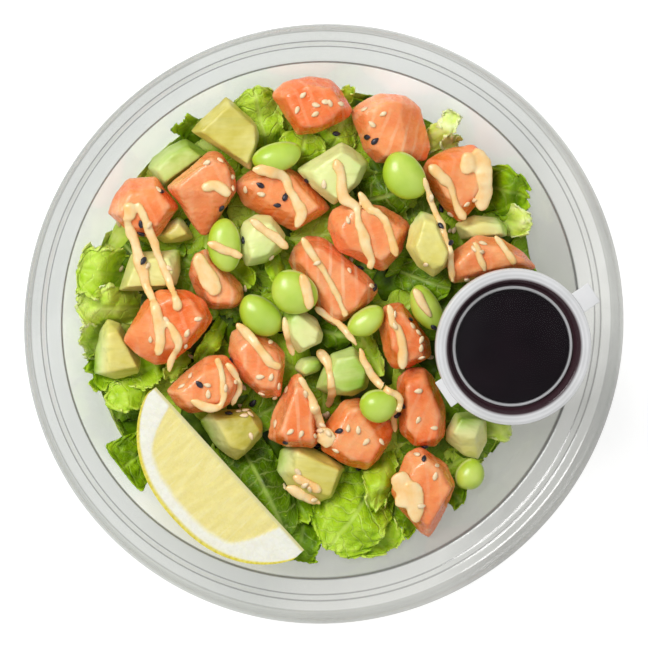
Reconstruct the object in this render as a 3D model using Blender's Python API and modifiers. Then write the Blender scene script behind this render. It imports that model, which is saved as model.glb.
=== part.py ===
"""Salmon poke bowl in a clear round take-away tub.

Chopped salad leaves fill the tub. Raw salmon, avocado, edamame beans, a lemon wedge and a shut pot of soy
sauce lie on them, under a drizzle of mayonnaise and a sprinkle of sesame.
Sizes and places are in millimetres and are turned to metres when a mesh is made. The origin is on the tub's
axis, on the plane that it stands on. +X is right and +Y is up when the bowl is seen from above.
"""

import math
import random

import bmesh
import bpy
import numpy as np
from mathutils import Matrix, Vector

MM = 0.001
GAP = 0.35  # between pieces that touch
SEED = 7

# Tub
RIM_RADIUS = 100.0
TUB_HEIGHT = 63.0
TUB_WALL = 0.8
TUB_SIDES = 44
LEDGE_RADIUS = 87.2  # where the sloping wall meets the ledge
LEDGE_HEIGHT = 50.0
FOOT_RADIUS = 66.5
FOOT_HEIGHT = 8.0
WALL_SLOPE = (LEDGE_RADIUS - FOOT_RADIUS) / (LEDGE_HEIGHT - FOOT_HEIGHT)

# Salad
CROWN_HEIGHT = 35.0
CROWN_DROP = 4.5
CROWN_REACH = 78.0
CORE_GAP = 1.0
CORE_SIDES = 26
CORE_RINGS = 11
CORE_BUMP = 1.3
LEAF_THICKNESS = 0.9
WALL_CLEARANCE = 1.4  # from the middle of a leaf to the tub's wall
WALL_CLIMB = 1.0

# Pot of soy sauce
POT_PLACE = (63.1, -7.7)
POT_BASE = 40.0
POT_HEIGHT = 22.0
POT_BASE_RADIUS = 17.2
POT_RIM_RADIUS = 24.6
POT_WALL = 0.7
POT_SIDES = 28
SAUCE_HEIGHT = 17.2
LID_RADIUS = 26.4
TAB_ANGLE = 33.7
TAB_SIZE = (7.6, 7.7, 0.8)
HINGE_SIZE = (3.4, 10.0, 0.8)

# Lemon wedge
LEMON_PLACE = (-31.6, -48.6)
LEMON_LENGTH = 75.0
LEMON_RADIUS = 25.5
LEMON_ANGLE = 55.0
LEMON_YAW = -48.4

# Chunks
OUTLINE_GROWTH = 1.05  # makes up for the rounded edges
BASE_SHARE = 0.66  # width of a chunk's base
BELLY_SHARE = (0.34, 0.5)  # height of its widest outline
FACET_ANGLE = math.radians(12)  # flatter edges than this are left out
SALMON_ROUNDING = 1.2

# Drizzle and seeds
DRIZZLE_RADIUS = 1.5
DRIZZLE_STEP = 1.0
SEED_SIZE = (3.0, 1.9, 1.3)
PALE_SEEDS_ON_SALMON = 1
SETTLE_REACH = 2.5  # how far a topping slides to lie lower
SETTLE_PULL = 0.6

# Height map over the tub
CELL = 0.5
HALF_SPAN = 102.0
CELLS = int(2 * HALF_SPAN / CELL)

# Plan of the toppings: one unit is 0.3344 mm, x to the right and y down, with the tub's axis at the middle
PLAN_UNIT = 0.3344
PLAN_MIDDLE = (319.5, 319.0)

# name: height in mm, then on the plan the corners of its widest outline and those of its flatter top.
# A piece lies on those above it in the list.
CHUNKS = {
    "avocado_14": (
        11,
        ((155, 234), (166, 221), (178, 213), (187, 224), (193, 236), (178, 240), (162, 241)),
        ((164, 231), (176, 220), (184, 230), (170, 235)),
    ),
    "avocado_06": (
        11,
        ((459, 224), (478, 215), (500, 217), (513, 227), (512, 237), (488, 239), (466, 240)),
        ((468, 227), (484, 221), (502, 224), (506, 233), (476, 235)),
    ),
    "avocado_09": (
        11,
        ((294, 369), (300, 359), (314, 356), (323, 362), (320, 371), (303, 378)),
        ((300, 368), (306, 361), (317, 362), (314, 369), (304, 373)),
    ),
    "salmon_10": (
        16,
        (
            (288, 260), (293, 245), (306, 234), (324, 236), (332, 254), (352, 264), (368, 274), (379, 288),
            (372, 299), (352, 312), (336, 325), (322, 317), (306, 280),
        ),
        ((298, 258), (308, 245), (320, 247), (344, 268), (364, 284), (350, 303), (334, 310), (316, 280)),
    ),
    "salmon_06": (
        16,
        ((186, 272), (192, 252), (206, 245), (222, 266), (241, 284), (243, 298), (232, 307), (208, 306), (195, 292)),
        ((195, 270), (204, 255), (220, 274), (232, 288), (227, 298), (208, 296)),
    ),
    "salmon_13": (
        17,
        ((226, 350), (230, 331), (240, 325), (272, 340), (284, 353), (283, 370), (279, 396), (262, 398), (240, 379)),
        ((236, 346), (246, 337), (270, 348), (276, 362), (271, 384), (257, 383), (240, 362)),
    ),
    "salmon_05": (
        16,
        (
            (232, 181), (252, 166), (284, 163), (302, 173), (331, 206), (304, 222), (293, 229), (282, 217),
            (262, 203), (242, 203),
        ),
        ((246, 179), (268, 172), (286, 173), (314, 203), (298, 214), (270, 200)),
    ),
    "avocado_07": (
        15,
        ((280, 320), (284, 305), (290, 302), (316, 318), (322, 332), (320, 341), (297, 352), (288, 342)),
        ((287, 318), (294, 311), (314, 328), (312, 339), (300, 344), (290, 333)),
    ),
    "avocado_10": (
        14,
        ((196, 424), (206, 413), (244, 410), (258, 425), (257, 439), (246, 452), (231, 464), (210, 448)),
        ((210, 420), (243, 416), (252, 430), (238, 450), (224, 444)),
    ),
    "avocado_11": (
        14,
        (
            (277, 474), (281, 453), (301, 446), (326, 458), (345, 472), (335, 484), (332, 502), (314, 509),
            (294, 498),
        ),
        ((296, 453), (316, 459), (336, 472), (328, 496), (306, 492), (294, 474)),
    ),
    "avocado_12": (
        14,
        ((91, 371), (93, 348), (98, 329), (105, 317), (118, 322), (126, 340), (138, 360), (136, 372), (112, 377)),
        ((104, 330), (114, 328), (124, 346), (132, 362), (106, 367)),
    ),
    "avocado_05": (
        15,
        ((117, 287), (121, 270), (130, 250), (164, 248), (178, 247), (178, 268), (174, 282), (150, 288)),
        ((124, 281), (134, 256), (164, 253), (168, 266), (161, 280)),
    ),
    "avocado_15": (
        11,
        ((146, 161), (151, 151), (166, 140), (183, 133), (207, 148), (189, 160), (170, 172), (160, 183)),
        ((154, 162), (168, 148), (184, 141), (196, 150), (178, 161), (163, 174)),
    ),
    "salmon_01": (
        15,
        (
            (271, 84), (284, 71), (308, 65), (329, 68), (341, 80), (352, 97), (348, 107), (330, 116), (316, 122),
            (296, 123), (281, 102),
        ),
        ((284, 84), (306, 74), (328, 78), (340, 97), (318, 113), (300, 114)),
    ),
    "salmon_02": (
        16,
        (
            (353, 102), (364, 93), (382, 85), (408, 87), (424, 100), (434, 138), (430, 152), (402, 152),
            (380, 155), (366, 141),
        ),
        ((366, 102), (388, 93), (402, 95), (405, 141), (386, 146), (372, 134)),
    ),
    "salmon_03": (
        15,
        ((101, 206), (108, 190), (121, 172), (150, 170), (162, 184), (173, 201), (160, 217), (150, 231), (128, 229)),
        ((112, 204), (124, 183), (148, 181), (161, 197), (149, 216), (127, 219)),
    ),
    "salmon_04": (
        17,
        ((164, 187), (186, 169), (205, 152), (216, 153), (231, 172), (233, 192), (218, 214), (201, 241), (186, 220)),
        ((172, 186), (204, 160), (221, 168), (225, 188), (208, 193), (186, 192)),
    ),
    "salmon_07": (
        15,
        (
            (113, 341), (129, 330), (132, 305), (148, 290), (178, 290), (194, 301), (203, 320), (181, 348),
            (164, 361), (146, 365), (126, 352),
        ),
        ((139, 328), (142, 306), (160, 297), (180, 301), (190, 317), (170, 342), (150, 346)),
    ),
    "salmon_08": (
        16,
        (
            (428, 176), (433, 162), (459, 150), (480, 148), (492, 157), (500, 180), (496, 197), (478, 212),
            (467, 227), (450, 212),
        ),
        ((438, 174), (444, 165), (478, 158), (489, 178), (478, 196), (464, 210), (450, 196)),
    ),
    "salmon_09": (
        17,
        (
            (323, 232), (326, 214), (344, 203), (378, 210), (398, 222), (405, 229), (398, 254), (379, 276),
            (354, 262), (332, 253),
        ),
        ((333, 232), (346, 212), (374, 217), (391, 232), (386, 252), (374, 261), (344, 249)),
    ),
    "salmon_11": (
        13,
        ((449, 264), (456, 250), (479, 235), (503, 238), (528, 253), (541, 270), (500, 274), (468, 284), (454, 284)),
        ((458, 264), (478, 244), (500, 246), (522, 260), (490, 267), (466, 274)),
    ),
    "salmon_12": (
        16,
        ((378, 320), (384, 305), (403, 301), (420, 328), (432, 341), (433, 356), (412, 368), (393, 369), (384, 352)),
        ((387, 322), (392, 311), (402, 312), (422, 342), (422, 354), (404, 360), (392, 346)),
    ),
    "salmon_14": (
        15,
        (
            (166, 393), (184, 376), (208, 359), (226, 358), (240, 374), (242, 388), (234, 404), (220, 413),
            (192, 417), (176, 408),
        ),
        ((180, 393), (200, 376), (222, 368), (232, 386), (218, 402), (190, 406)),
    ),
    "salmon_15": (
        16,
        ((280, 386), (286, 373), (294, 372), (306, 398), (312, 440), (305, 447), (276, 444), (259, 437), (265, 412)),
        ((285, 386), (294, 384), (302, 408), (303, 436), (280, 436), (270, 428), (276, 408)),
    ),
    "salmon_16": (
        16,
        (
            (336, 402), (352, 400), (388, 428), (384, 444), (374, 462), (360, 473), (338, 467), (314, 453),
            (312, 436), (328, 424),
        ),
        ((338, 411), (350, 409), (366, 432), (370, 446), (360, 462), (342, 458), (322, 444), (334, 426)),
    ),
    "salmon_17": (
        16,
        (
            (399, 380), (410, 370), (426, 369), (437, 379), (449, 412), (448, 438), (438, 450), (416, 449),
            (402, 436),
        ),
        ((406, 385), (424, 378), (432, 396), (440, 416), (436, 437), (420, 441), (408, 428)),
    ),
    "salmon_18": (
        15,
        (
            (410, 472), (412, 457), (428, 452), (454, 469), (464, 490), (455, 514), (437, 544), (428, 540),
            (405, 513), (398, 495),
        ),
        ((418, 470), (430, 461), (446, 476), (453, 492), (442, 514), (433, 528), (414, 508), (407, 492)),
    ),
    "avocado_01": (
        13,
        ((183, 127), (190, 118), (217, 94), (224, 98), (247, 120), (250, 134), (241, 165), (206, 146)),
        ((192, 126), (220, 101), (243, 123), (244, 138), (236, 157), (210, 142)),
    ),
    "avocado_02": (
        14,
        ((296, 173), (318, 163), (340, 146), (352, 152), (368, 167), (358, 188), (333, 209), (312, 192)),
        ((310, 174), (338, 155), (357, 169), (350, 185), (334, 200), (318, 187)),
    ),
    "avocado_03": (
        14,
        ((400, 243), (404, 222), (415, 207), (430, 212), (446, 248), (441, 263), (427, 272), (412, 262)),
        ((408, 240), (416, 215), (426, 219), (438, 246), (434, 258), (425, 262), (414, 254)),
    ),
    "avocado_04": (
        13,
        ((240, 232), (245, 212), (257, 205), (273, 206), (288, 225), (284, 241), (268, 253), (248, 256)),
        ((248, 228), (256, 213), (271, 213), (280, 227), (268, 242), (252, 246)),
    ),
    "avocado_08": (
        14,
        ((313, 392), (319, 373), (328, 357), (350, 350), (368, 372), (365, 392), (350, 400), (328, 399)),
        ((324, 384), (332, 361), (349, 358), (359, 372), (357, 389), (340, 392)),
    ),
    "avocado_13": (
        15,
        ((448, 432), (457, 415), (474, 413), (489, 424), (490, 445), (481, 463), (466, 458), (448, 443)),
        ((453, 431), (460, 418), (481, 420), (474, 437), (460, 438)),
    ),
}
# name: middle on the plan, then length, width, height in mm, then yaw
BEANS = {
    "edamame_1": ((268, 151), (16.8, 10.0, 9.0), 14),
    "edamame_2": ((402, 165), (17.4, 13.6, 9.5), -54),
    "edamame_3": ((224, 243), (18.0, 11.2, 9.0), -86),
    "edamame_4": ((296, 292), (16.6, 14.4, 9.5), -35),
    "edamame_5": ((259, 319), (16.6, 12.2, 9.5), -42),
    "edamame_6": ((367, 312), (13.8, 9.2, 8.5), 34),
    "edamame_7": ((424, 313), (17.0, 9.6, 8.5), -61),
    "edamame_8": ((371, 408), (12.8, 11.4, 9.0), 4),
    "edamame_9": ((470, 475), (11.2, 9.8, 9.0), 60),
}
# name: root x, y, tip x, y, then width, lift over the packed salad, and height of its waves
LEAVES = {
    "curly_01": ((-62, 14), (-86, 20), 20, 15, 2.4),
    "curly_02": ((-60, 4), (-85, 7), 17, 14, 2.4),
    "curly_03": ((-60, -6), (-85, -7), 17, 14, 2.2),
    "curly_04": ((-58, -13), (-83, -18), 15, 10, 2.0),
    "curly_05": ((-55, -22), (-74, -27), 12, 8, 1.8),
    "fan_06": ((-50, -38), (-73, -53), 25, 12, 1.2),
    "curly_07": ((-34, 64), (-26, 81), 12, 10, 1.6),
    "curly_08": ((-38, 60), (-50, 74), 13, 10, 1.6),
    "crinkled_09": ((-17, 57), (-23, 80), 17, 14, 1.8),
    "smooth_10": ((-8, 51), (-4, 64), 17, 10, 1.4),
    "crinkled_11": ((4, 57), (11, 73), 17, 12, 1.8),
    "curly_12": ((8, 69), (11, 80), 7, 10, 1.0),
    "frilled_13": ((35, 56), (49, 74), 9, 13, 1.8),
    "frilled_14": ((34, 59), (52, 60), 9, 11, 1.6),
    "curly_15": ((53, 46), (74, 41), 22, 13, 2.4),
    "pale_16": ((55, 35), (73, 31), 13, 9, 1.4),
    "smooth_17": ((12, 39), (31, 45), 16, 11, 1.4),
    "smooth_18": ((27, 16), (45, 10), 13, 10, 1.4),
    "smooth_19": ((38, 31), (49, 24), 9, 8, 1.0),
    "crinkled_20": ((12, -1), (21, -19), 9, 12, 1.2),
    "smooth_21": ((0, -4), (12, -6), 12, 8, 1.2),
    "strip_22": ((-33, 21), (-23, 11), 10, 9, 1.0),
    "strip_23": ((-17, 24), (-14, 13), 7, 8, 1.0),
    "strip_24": ((-32, 0), (-42, -15), 7, 10, 1.0),
    "curly_25": ((-52, -13), (-66, -22), 12, 9, 1.6),
    "curly_26": ((-45, -10), (-52, -21), 9, 9, 1.4),
    "smooth_27": ((-30, -36), (-11, -74), 18, 12, 1.8),
    "crinkled_28": ((21, -54), (2, -79), 25, 15, 2.4),
    "curly_29": ((24, -43), (18, -66), 13, 15, 2.4),
    "curly_30": ((12, -64), (25, -84), 21, 11, 2.2),
    "curly_31": ((-4, -64), (-9, -87), 15, 11, 2.2),
    "curly_32": ((-13, -56), (-3, -70), 13, 10, 1.8),
    "curly_33": ((20, -35), (22, -47), 9, 8, 1.2),
    "curly_34": ((25, -59), (39, -77), 15, 9, 1.8),
    "curly_35": ((43, -56), (52, -68), 10, 8, 1.4),
    "pale_36": ((50, -33), (67, -42), 10, 8, 1.2),
    "smooth_37": ((-66, 26), (-53, 12), 12, 7, 1.0),
    "smooth_38": ((-58, 27), (-45, 22), 11, 7, 1.0),
}
# Each stroke of mayonnaise, as the points that it runs through from above
STROKES = (
    ((-65, 43), (-65, 38), (-62, 28), (-58, 20), (-56, 10), (-56, 0), (-53, -8), (-54, -14)),
    ((-63, 40), (-60, 30), (-54, 21), (-50, 12), (-48, 4)),
    ((-39, 26), (-33, 25), (-28, 24)),
    ((-26, 32), (-20, 28), (-14, 25)),
    ((-24, 51), (-18, 50), (-12, 46), (-9, 39), (-8, 32)),
    ((3, 56), (5, 48), (7, 40), (11, 35), (14, 27), (17, 18)),
    ((13, 43), (18, 38), (22, 30), (25, 22)),
    ((-7, 27), (-2, 20), (3, 12), (6, 4)),
    ((-9, 16), (-7, 6)),
    ((-26, -4), (-19, -12), (-12, -19)),
    ((-46, -26), (-40, -28), (-34, -24), (-34, -16)),
    ((-33, -15), (-29, -21), (-31, -28)),
    ((24, 4), (27, -4), (30, -14)),
    ((34, 50), (40, 45), (45, 37), (48, 31)),
    ((51, 54), (53, 48), (54, 38)),
    ((50, 26), (54, 20)),
    ((59, 28), (63, 21)),
    ((-2, -13), (1, -22), (3, -29)),
    ((12, -10), (17, -20), (21, -23), (25, -29), (25, -38)),
    ((-6, -22), (-2, -31), (3, -38), (5, -40)),
    ((-12, -47), (-4, -52), (4, -56)),
    ((-42, 46), (-37, 46), (-32, 43)),
    ((31, -52), (31, -60)),
)
# Where the black sesame seeds lie, from above
BLACK_SEEDS = (
    (-12, 81), (5, 62), (15, 61), (17, 60), (-5, 47), (-12, 41), (-15, 38), (-21, 45), (-34, 38), (-26, 27),
    (-54, 43), (-60, 32), (-60, 29), (-60, 20), (13, 18), (17, 12), (40, 38), (40, 32), (43, 26), (29, 1),
    (37, -2), (-30, -13), (-41, -21), (-31, -31), (-23, -27), (-12, -40), (-2, -42), (6, -37), (12, -49),
    (27, -28), (25, -31), (34, -42), (34, -46),
)


def material(name, colour, roughness, metallic=0.0, alpha=1.0):
    """A plain finish for one kind of piece."""
    made = bpy.data.materials.new(name)
    made.use_nodes = True
    shader = made.node_tree.nodes["Principled BSDF"]
    shader.inputs["Base Color"].default_value = (*colour, 1.0)
    shader.inputs["Roughness"].default_value = roughness
    shader.inputs["Metallic"].default_value = metallic
    shader.inputs["Alpha"].default_value = alpha
    made.diffuse_color = (*colour, alpha)
    return made


def collection(name):
    made = bpy.data.collections.new(name)
    bpy.context.scene.collection.children.link(made)
    return made


def new_object(name, mesh, group, finish=None):
    made = bpy.data.objects.new(name, mesh)
    group.objects.link(made)
    if finish:
        made.data.materials.append(finish)
    return made


def mesh_from(bm, name):
    """The edited mesh as data, in metres."""
    bmesh.ops.recalc_face_normals(bm, faces=bm.faces)
    bmesh.ops.scale(bm, vec=(MM, MM, MM), verts=bm.verts)
    mesh = bpy.data.meshes.new(name)
    bm.to_mesh(mesh)
    bm.free()
    return mesh


def evaluated_mesh(obj):
    """The object's shape with its modifiers applied, and its place in the points."""
    bpy.context.view_layer.update()
    seen = obj.evaluated_get(bpy.context.evaluated_depsgraph_get())
    mesh = bpy.data.meshes.new_from_object(seen)
    mesh.transform(obj.matrix_world)
    return mesh


def tub_radius(z):
    """Inner radius of the tub's sloping wall at height z."""
    return LEDGE_RADIUS - (LEDGE_HEIGHT - z) * WALL_SLOPE


def tub_profile():
    """Inner surface of the tub from the middle of its base to its rim."""
    ledge = LEDGE_HEIGHT
    return (
        (0.0, 3.2),
        (51.0, 3.2),
        (54.0, TUB_WALL),
        (60.5, TUB_WALL),
        (64.6, 3.4),
        (FOOT_RADIUS, FOOT_HEIGHT),
        (LEDGE_RADIUS, ledge),
        (LEDGE_RADIUS + 1.0, ledge + 0.9),
        (LEDGE_RADIUS + 5.4, ledge + 1.2),
        (LEDGE_RADIUS + 7.4, ledge + 3.4),
        (LEDGE_RADIUS + 10.4, ledge + 3.8),
        (RIM_RADIUS - 1.6, ledge + 5.4),
        (RIM_RADIUS - 1.0, TUB_HEIGHT - 0.8),
        (RIM_RADIUS - 0.2, TUB_HEIGHT),
    )


def turned_shell(name, profile, sides, wall, finish, group):
    """A profile of radius and height turned about the axis, with a wall grown outwards from it."""
    bm = bmesh.new()
    points = [bm.verts.new((r * MM, 0, z * MM)) for r, z in profile]
    for a, b in zip(points, points[1:]):
        bm.edges.new((a, b))
    mesh = bpy.data.meshes.new(name)
    bm.to_mesh(mesh)
    bm.free()
    made = new_object(name, mesh, group, finish)
    screw = made.modifiers.new("turn", "SCREW")
    screw.steps = screw.render_steps = sides
    screw.use_merge_vertices = True
    screw.merge_threshold = 0.00001
    screw.use_normal_calculate = True
    shell = made.modifiers.new("wall", "SOLIDIFY")
    shell.thickness = wall * MM
    shell.offset = 1
    shell.use_even_offset = True
    return made


def turned_solid(profile, sides):
    """A closed profile of radius and height turned about the axis, as an edited mesh in millimetres."""
    bm = bmesh.new()
    points = [bm.verts.new((r, 0, z)) for r, z in profile]
    edges = [bm.edges.new(pair) for pair in zip(points, points[1:])]
    if profile[0][0] > 0:
        edges.append(bm.edges.new((points[-1], points[0])))
    bmesh.ops.spin(
        bm, geom=points + edges, axis=(0, 0, 1), cent=(0, 0, 0), steps=sides,
        angle=math.tau, use_merge=True,
    )
    bmesh.ops.remove_doubles(bm, verts=bm.verts, dist=0.001)
    return bm


class HeightMap:
    """Top of what is placed so far and underside of what lies over the salad, for each cell of the tub."""

    def __init__(self):
        centres = (np.arange(CELLS) + 0.5) * CELL - HALF_SPAN
        self.x, self.y = np.meshgrid(centres, centres, indexing="ij")
        radius = np.hypot(self.x, self.y) / math.cos(math.pi / TUB_SIDES)
        steps = tub_profile()
        self.top = np.interp(radius, [r for r, _ in steps], [z for _, z in steps])
        self.owner = np.full(self.top.shape, -1)
        self.under = np.full(self.top.shape, np.inf)
        self.names = []

    def block(self, place, radius, height):
        """Keeps a round space free from the floor up to a height."""
        inside = np.hypot(self.x - place[0], self.y - place[1]) <= radius
        self.top[inside] = np.maximum(self.top[inside], height)

    def raster(self, mesh):
        """Highest and lowest height of a mesh in each cell that it covers."""
        upper = np.full(self.top.shape, -np.inf)
        lower = np.full(self.top.shape, np.inf)
        mesh.calc_loop_triangles()
        points = np.array([v.co for v in mesh.vertices]) / MM
        for triangle in mesh.loop_triangles:
            a, b, c = points[list(triangle.vertices)]
            low = np.floor((np.minimum(np.minimum(a, b), c)[:2] + HALF_SPAN) / CELL).astype(int) - 1
            high = np.ceil((np.maximum(np.maximum(a, b), c)[:2] + HALF_SPAN) / CELL).astype(int) + 1
            area = (b[0] - a[0]) * (c[1] - a[1]) - (c[0] - a[0]) * (b[1] - a[1])
            if abs(area) < 1e-6:
                continue
            cells = np.s_[max(low[0], 0):high[0], max(low[1], 0):high[1]]
            x, y = self.x[cells], self.y[cells]
            u = ((x - a[0]) * (c[1] - a[1]) - (c[0] - a[0]) * (y - a[1])) / area
            v = ((b[0] - a[0]) * (y - a[1]) - (x - a[0]) * (b[1] - a[1])) / area
            inside = (u >= -1e-9) & (v >= -1e-9) & (u + v <= 1 + 1e-9)
            z = a[2] + u * (b[2] - a[2]) + v * (c[2] - a[2])
            upper[cells] = np.where(inside, np.maximum(upper[cells], z), upper[cells])
            lower[cells] = np.where(inside, np.minimum(lower[cells], z), lower[cells])
        return upper, lower

    def add(self, name, upper, lower, over_salad=True):
        """Takes a placed piece into the map."""
        index = len(self.names)
        self.names.append(name)
        higher = upper > self.top
        self.top[higher] = upper[higher]
        self.owner[higher] = index
        if over_salad:
            self.under = np.minimum(self.under, lower)

    def settle(self, mesh, reach=SETTLE_REACH):
        """Slides a mesh a little to where it lies lowest, just clear of all below it, and returns its heights."""
        upper, lower = self.raster(mesh)
        below = spread(self.top, np.maximum)
        rows, columns = np.nonzero(np.isfinite(lower))
        found = []
        span = int(reach / CELL)
        for i in range(-span, span + 1):
            for j in range(-span, span + 1):
                distance = math.hypot(i, j) * CELL
                if distance <= reach:
                    lift = float((below[rows + i, columns + j] - lower[rows, columns]).max()) + GAP
                    found.append((lift + SETTLE_PULL * distance, lift, i, j))
        _, lift, i, j = min(found)
        mesh.transform(Matrix.Translation((i * CELL * MM, j * CELL * MM, lift * MM)))
        return np.roll(upper, (i, j), (0, 1)) + lift, np.roll(lower, (i, j), (0, 1)) + lift

    @staticmethod
    def cell(x, y):
        return int((x + HALF_SPAN) / CELL), int((y + HALF_SPAN) / CELL)


def spread(values, pick):
    """Each cell takes the highest or lowest value of its neighbours."""
    out = values.copy()
    for dx in (-1, 0, 1):
        for dy in (-1, 0, 1):
            out = pick(out, np.roll(values, (dx, dy), (0, 1)))
    return out


def plan_point(place):
    """A place on the plan as millimetres from the tub's axis."""
    return (place[0] - PLAN_MIDDLE[0]) * PLAN_UNIT, (PLAN_MIDDLE[1] - place[1]) * PLAN_UNIT


def chunk_hull(chunk, number):
    """A hand-cut chunk with sharp edges: a narrow base, its widest outline above that and a flatter top."""
    height, outline, top = chunk
    draw = random.Random(SEED * 100 + number)
    corners = [Vector((*plan_point(place), 0)) for place in outline]
    middle = sum(corners, Vector()) / len(corners)
    corners = [middle + (corner - middle) * OUTLINE_GROWTH for corner in corners]
    bm = bmesh.new()
    for i, corner in enumerate(corners):
        bm.verts.new((corner.x, corner.y, height * draw.uniform(*BELLY_SHARE)))
        if i % 3 == 0:
            foot = middle + (corner - middle) * BASE_SHARE
            bm.verts.new((foot.x, foot.y, height * draw.uniform(0, 0.08)))
    for place in top:
        corner = middle + (Vector((*plan_point(place), 0)) - middle) * OUTLINE_GROWTH
        bm.verts.new((corner.x, corner.y, height * draw.uniform(0.9, 1)))
    hull = bmesh.ops.convex_hull(bm, input=bm.verts)
    inner = {v for v in hull["geom_interior"] + hull["geom_unused"] if isinstance(v, bmesh.types.BMVert)}
    bmesh.ops.delete(bm, geom=list(inner), context="VERTS")
    bmesh.ops.dissolve_limit(bm, angle_limit=FACET_ANGLE, verts=bm.verts, edges=bm.edges)
    return bm


def chunk_mesh(name, chunk, number):
    """The chunk in its place: salmon has its edges rounded, and avocado keeps its cut edges."""
    bm = chunk_hull(chunk, number)
    if name.startswith("salmon"):
        bmesh.ops.bevel(
            bm, geom=bm.edges[:], offset=SALMON_ROUNDING, segments=1, profile=0.5, affect="EDGES",
            clamp_overlap=True,
        )
    bmesh.ops.triangulate(bm, faces=bm.faces)
    return mesh_from(bm, name)


def bean_mesh(name, size, yaw, place):
    """A shelled bean: an oval with one flatter side and a slight bend."""
    bm = bmesh.new()
    bmesh.ops.create_uvsphere(bm, u_segments=9, v_segments=6, radius=0.5)
    for v in bm.verts:
        x, y, z = v.co
        bend = 0.12 * (1 - 4 * x * x)
        v.co = Vector((x * size[0], (y - bend * 0.5) * size[1], z * size[2] * (1 - 0.12 * x)))
    bmesh.ops.triangulate(bm, faces=bm.faces)
    bm.transform(Matrix.Translation((*plan_point(place), 0)) @ Matrix.Rotation(math.radians(yaw), 4, "Z"))
    return mesh_from(bm, name)


def lemon_mesh(name):
    """A lemon cut twice through its core, lying with one cut face up."""
    bm = bmesh.new()
    bmesh.ops.create_uvsphere(bm, u_segments=36, v_segments=14, radius=1.0)
    bmesh.ops.rotate(bm, verts=bm.verts, matrix=Matrix.Rotation(math.pi / 2, 3, "Y"))
    for v in bm.verts:
        along, across = v.co.x, math.hypot(v.co.y, v.co.z)
        girth = LEMON_RADIUS * max(1 - (abs(along) * 0.97) ** 2.3, 0) ** 0.62
        share = girth / across if across > 1e-6 else 0.0
        v.co = Vector((along * LEMON_LENGTH / 2, v.co.y * share, v.co.z * share))
    bmesh.ops.remove_doubles(bm, verts=bm.verts, dist=0.01)
    down = math.radians(LEMON_ANGLE)
    for normal in ((0, 0, 1), (0, math.sin(down), -math.cos(down))):
        cut = bmesh.ops.bisect_plane(
            bm, geom=bm.verts[:] + bm.edges[:] + bm.faces[:], plane_co=(0, 0, 0),
            plane_no=normal, clear_outer=True, dist=0.0001,
        )
        rim = [e for e in cut["geom_cut"] if isinstance(e, bmesh.types.BMEdge)]
        bmesh.ops.holes_fill(bm, edges=rim, sides=0)
    bmesh.ops.triangulate(bm, faces=bm.faces)
    bm.transform(Matrix.Translation((*LEMON_PLACE, 0)) @ Matrix.Rotation(math.radians(LEMON_YAW), 4, "Z"))
    return mesh_from(bm, name)


def core_top(x, y):
    """Height of the packed salad under the toppings: a low crown, level under the pot, with soft bumps."""
    radius = math.hypot(x, y)
    crown = CROWN_HEIGHT - CROWN_DROP * (radius / CROWN_REACH) ** 2
    crown += CORE_BUMP * math.sin(x / 5.3 + 0.7) * math.cos(y / 4.7 - 0.4)
    away = math.hypot(x - POT_PLACE[0], y - POT_PLACE[1])
    share = min(max((away - POT_BASE_RADIUS) / 7.0, 0), 1)
    return crown * share + (POT_BASE - GAP) * (1 - share)


def salad_core_mesh(name):
    """A lump that fills the tub below the toppings, mapped from a ball: its lower half follows the tub."""
    bm = bmesh.new()
    bmesh.ops.create_uvsphere(bm, u_segments=CORE_SIDES, v_segments=CORE_RINGS, radius=1.0)
    edge_height = CROWN_HEIGHT - CROWN_DROP
    facet = math.cos(math.pi / TUB_SIDES)
    edge_radius = tub_radius(edge_height) * facet - CORE_GAP
    low_radius = FOOT_RADIUS * facet - CORE_GAP
    for v in bm.verts:
        flat = math.hypot(v.co.x, v.co.y)
        heading = math.atan2(v.co.y, v.co.x)
        if v.co.z > -0.01:
            radius = edge_radius * (1 - math.acos(min(flat, 1)) / (math.pi / 2))
            x, y = radius * math.cos(heading), radius * math.sin(heading)
            v.co = Vector((x, y, core_top(x, y)))
            continue
        depth = math.acos(min(flat, 1)) / (math.pi / 2)
        if depth < 0.5:
            share = depth / 0.5
            z = edge_height * (1 - share) + (FOOT_HEIGHT + 0.6) * share
            radius = tub_radius(z) * facet - CORE_GAP
        else:
            share = (depth - 0.5) / 0.5
            radius = low_radius * (1 - share)
            z = FOOT_HEIGHT + 0.6 - 3.8 * min(share * 3, 1)
        v.co = Vector((radius * math.cos(heading), radius * math.sin(heading), z))
    bmesh.ops.remove_doubles(bm, verts=bm.verts, dist=0.05)
    bmesh.ops.triangulate(bm, faces=bm.faces)
    return mesh_from(bm, name)


def leaf_place(u, v, phase, size, wave, fan):
    """Share of the leaf's width and height over its lift at a share u of its length and v of its half width."""
    if fan:
        lobe = 0.35 + 0.65 * u
    else:
        lobe = 0.45 + 0.55 * math.sin(math.pi * min(0.12 + 0.72 * u, 1)) ** 0.7
        lobe *= 1 - 0.25 * max(u - 0.8, 0) / 0.2
    ruffle = wave * math.sin(phase + size * 0.3 * u + 1.3 * v) * (0.35 + 0.65 * abs(v))
    return lobe, ruffle + 1.2 * v * v


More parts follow.
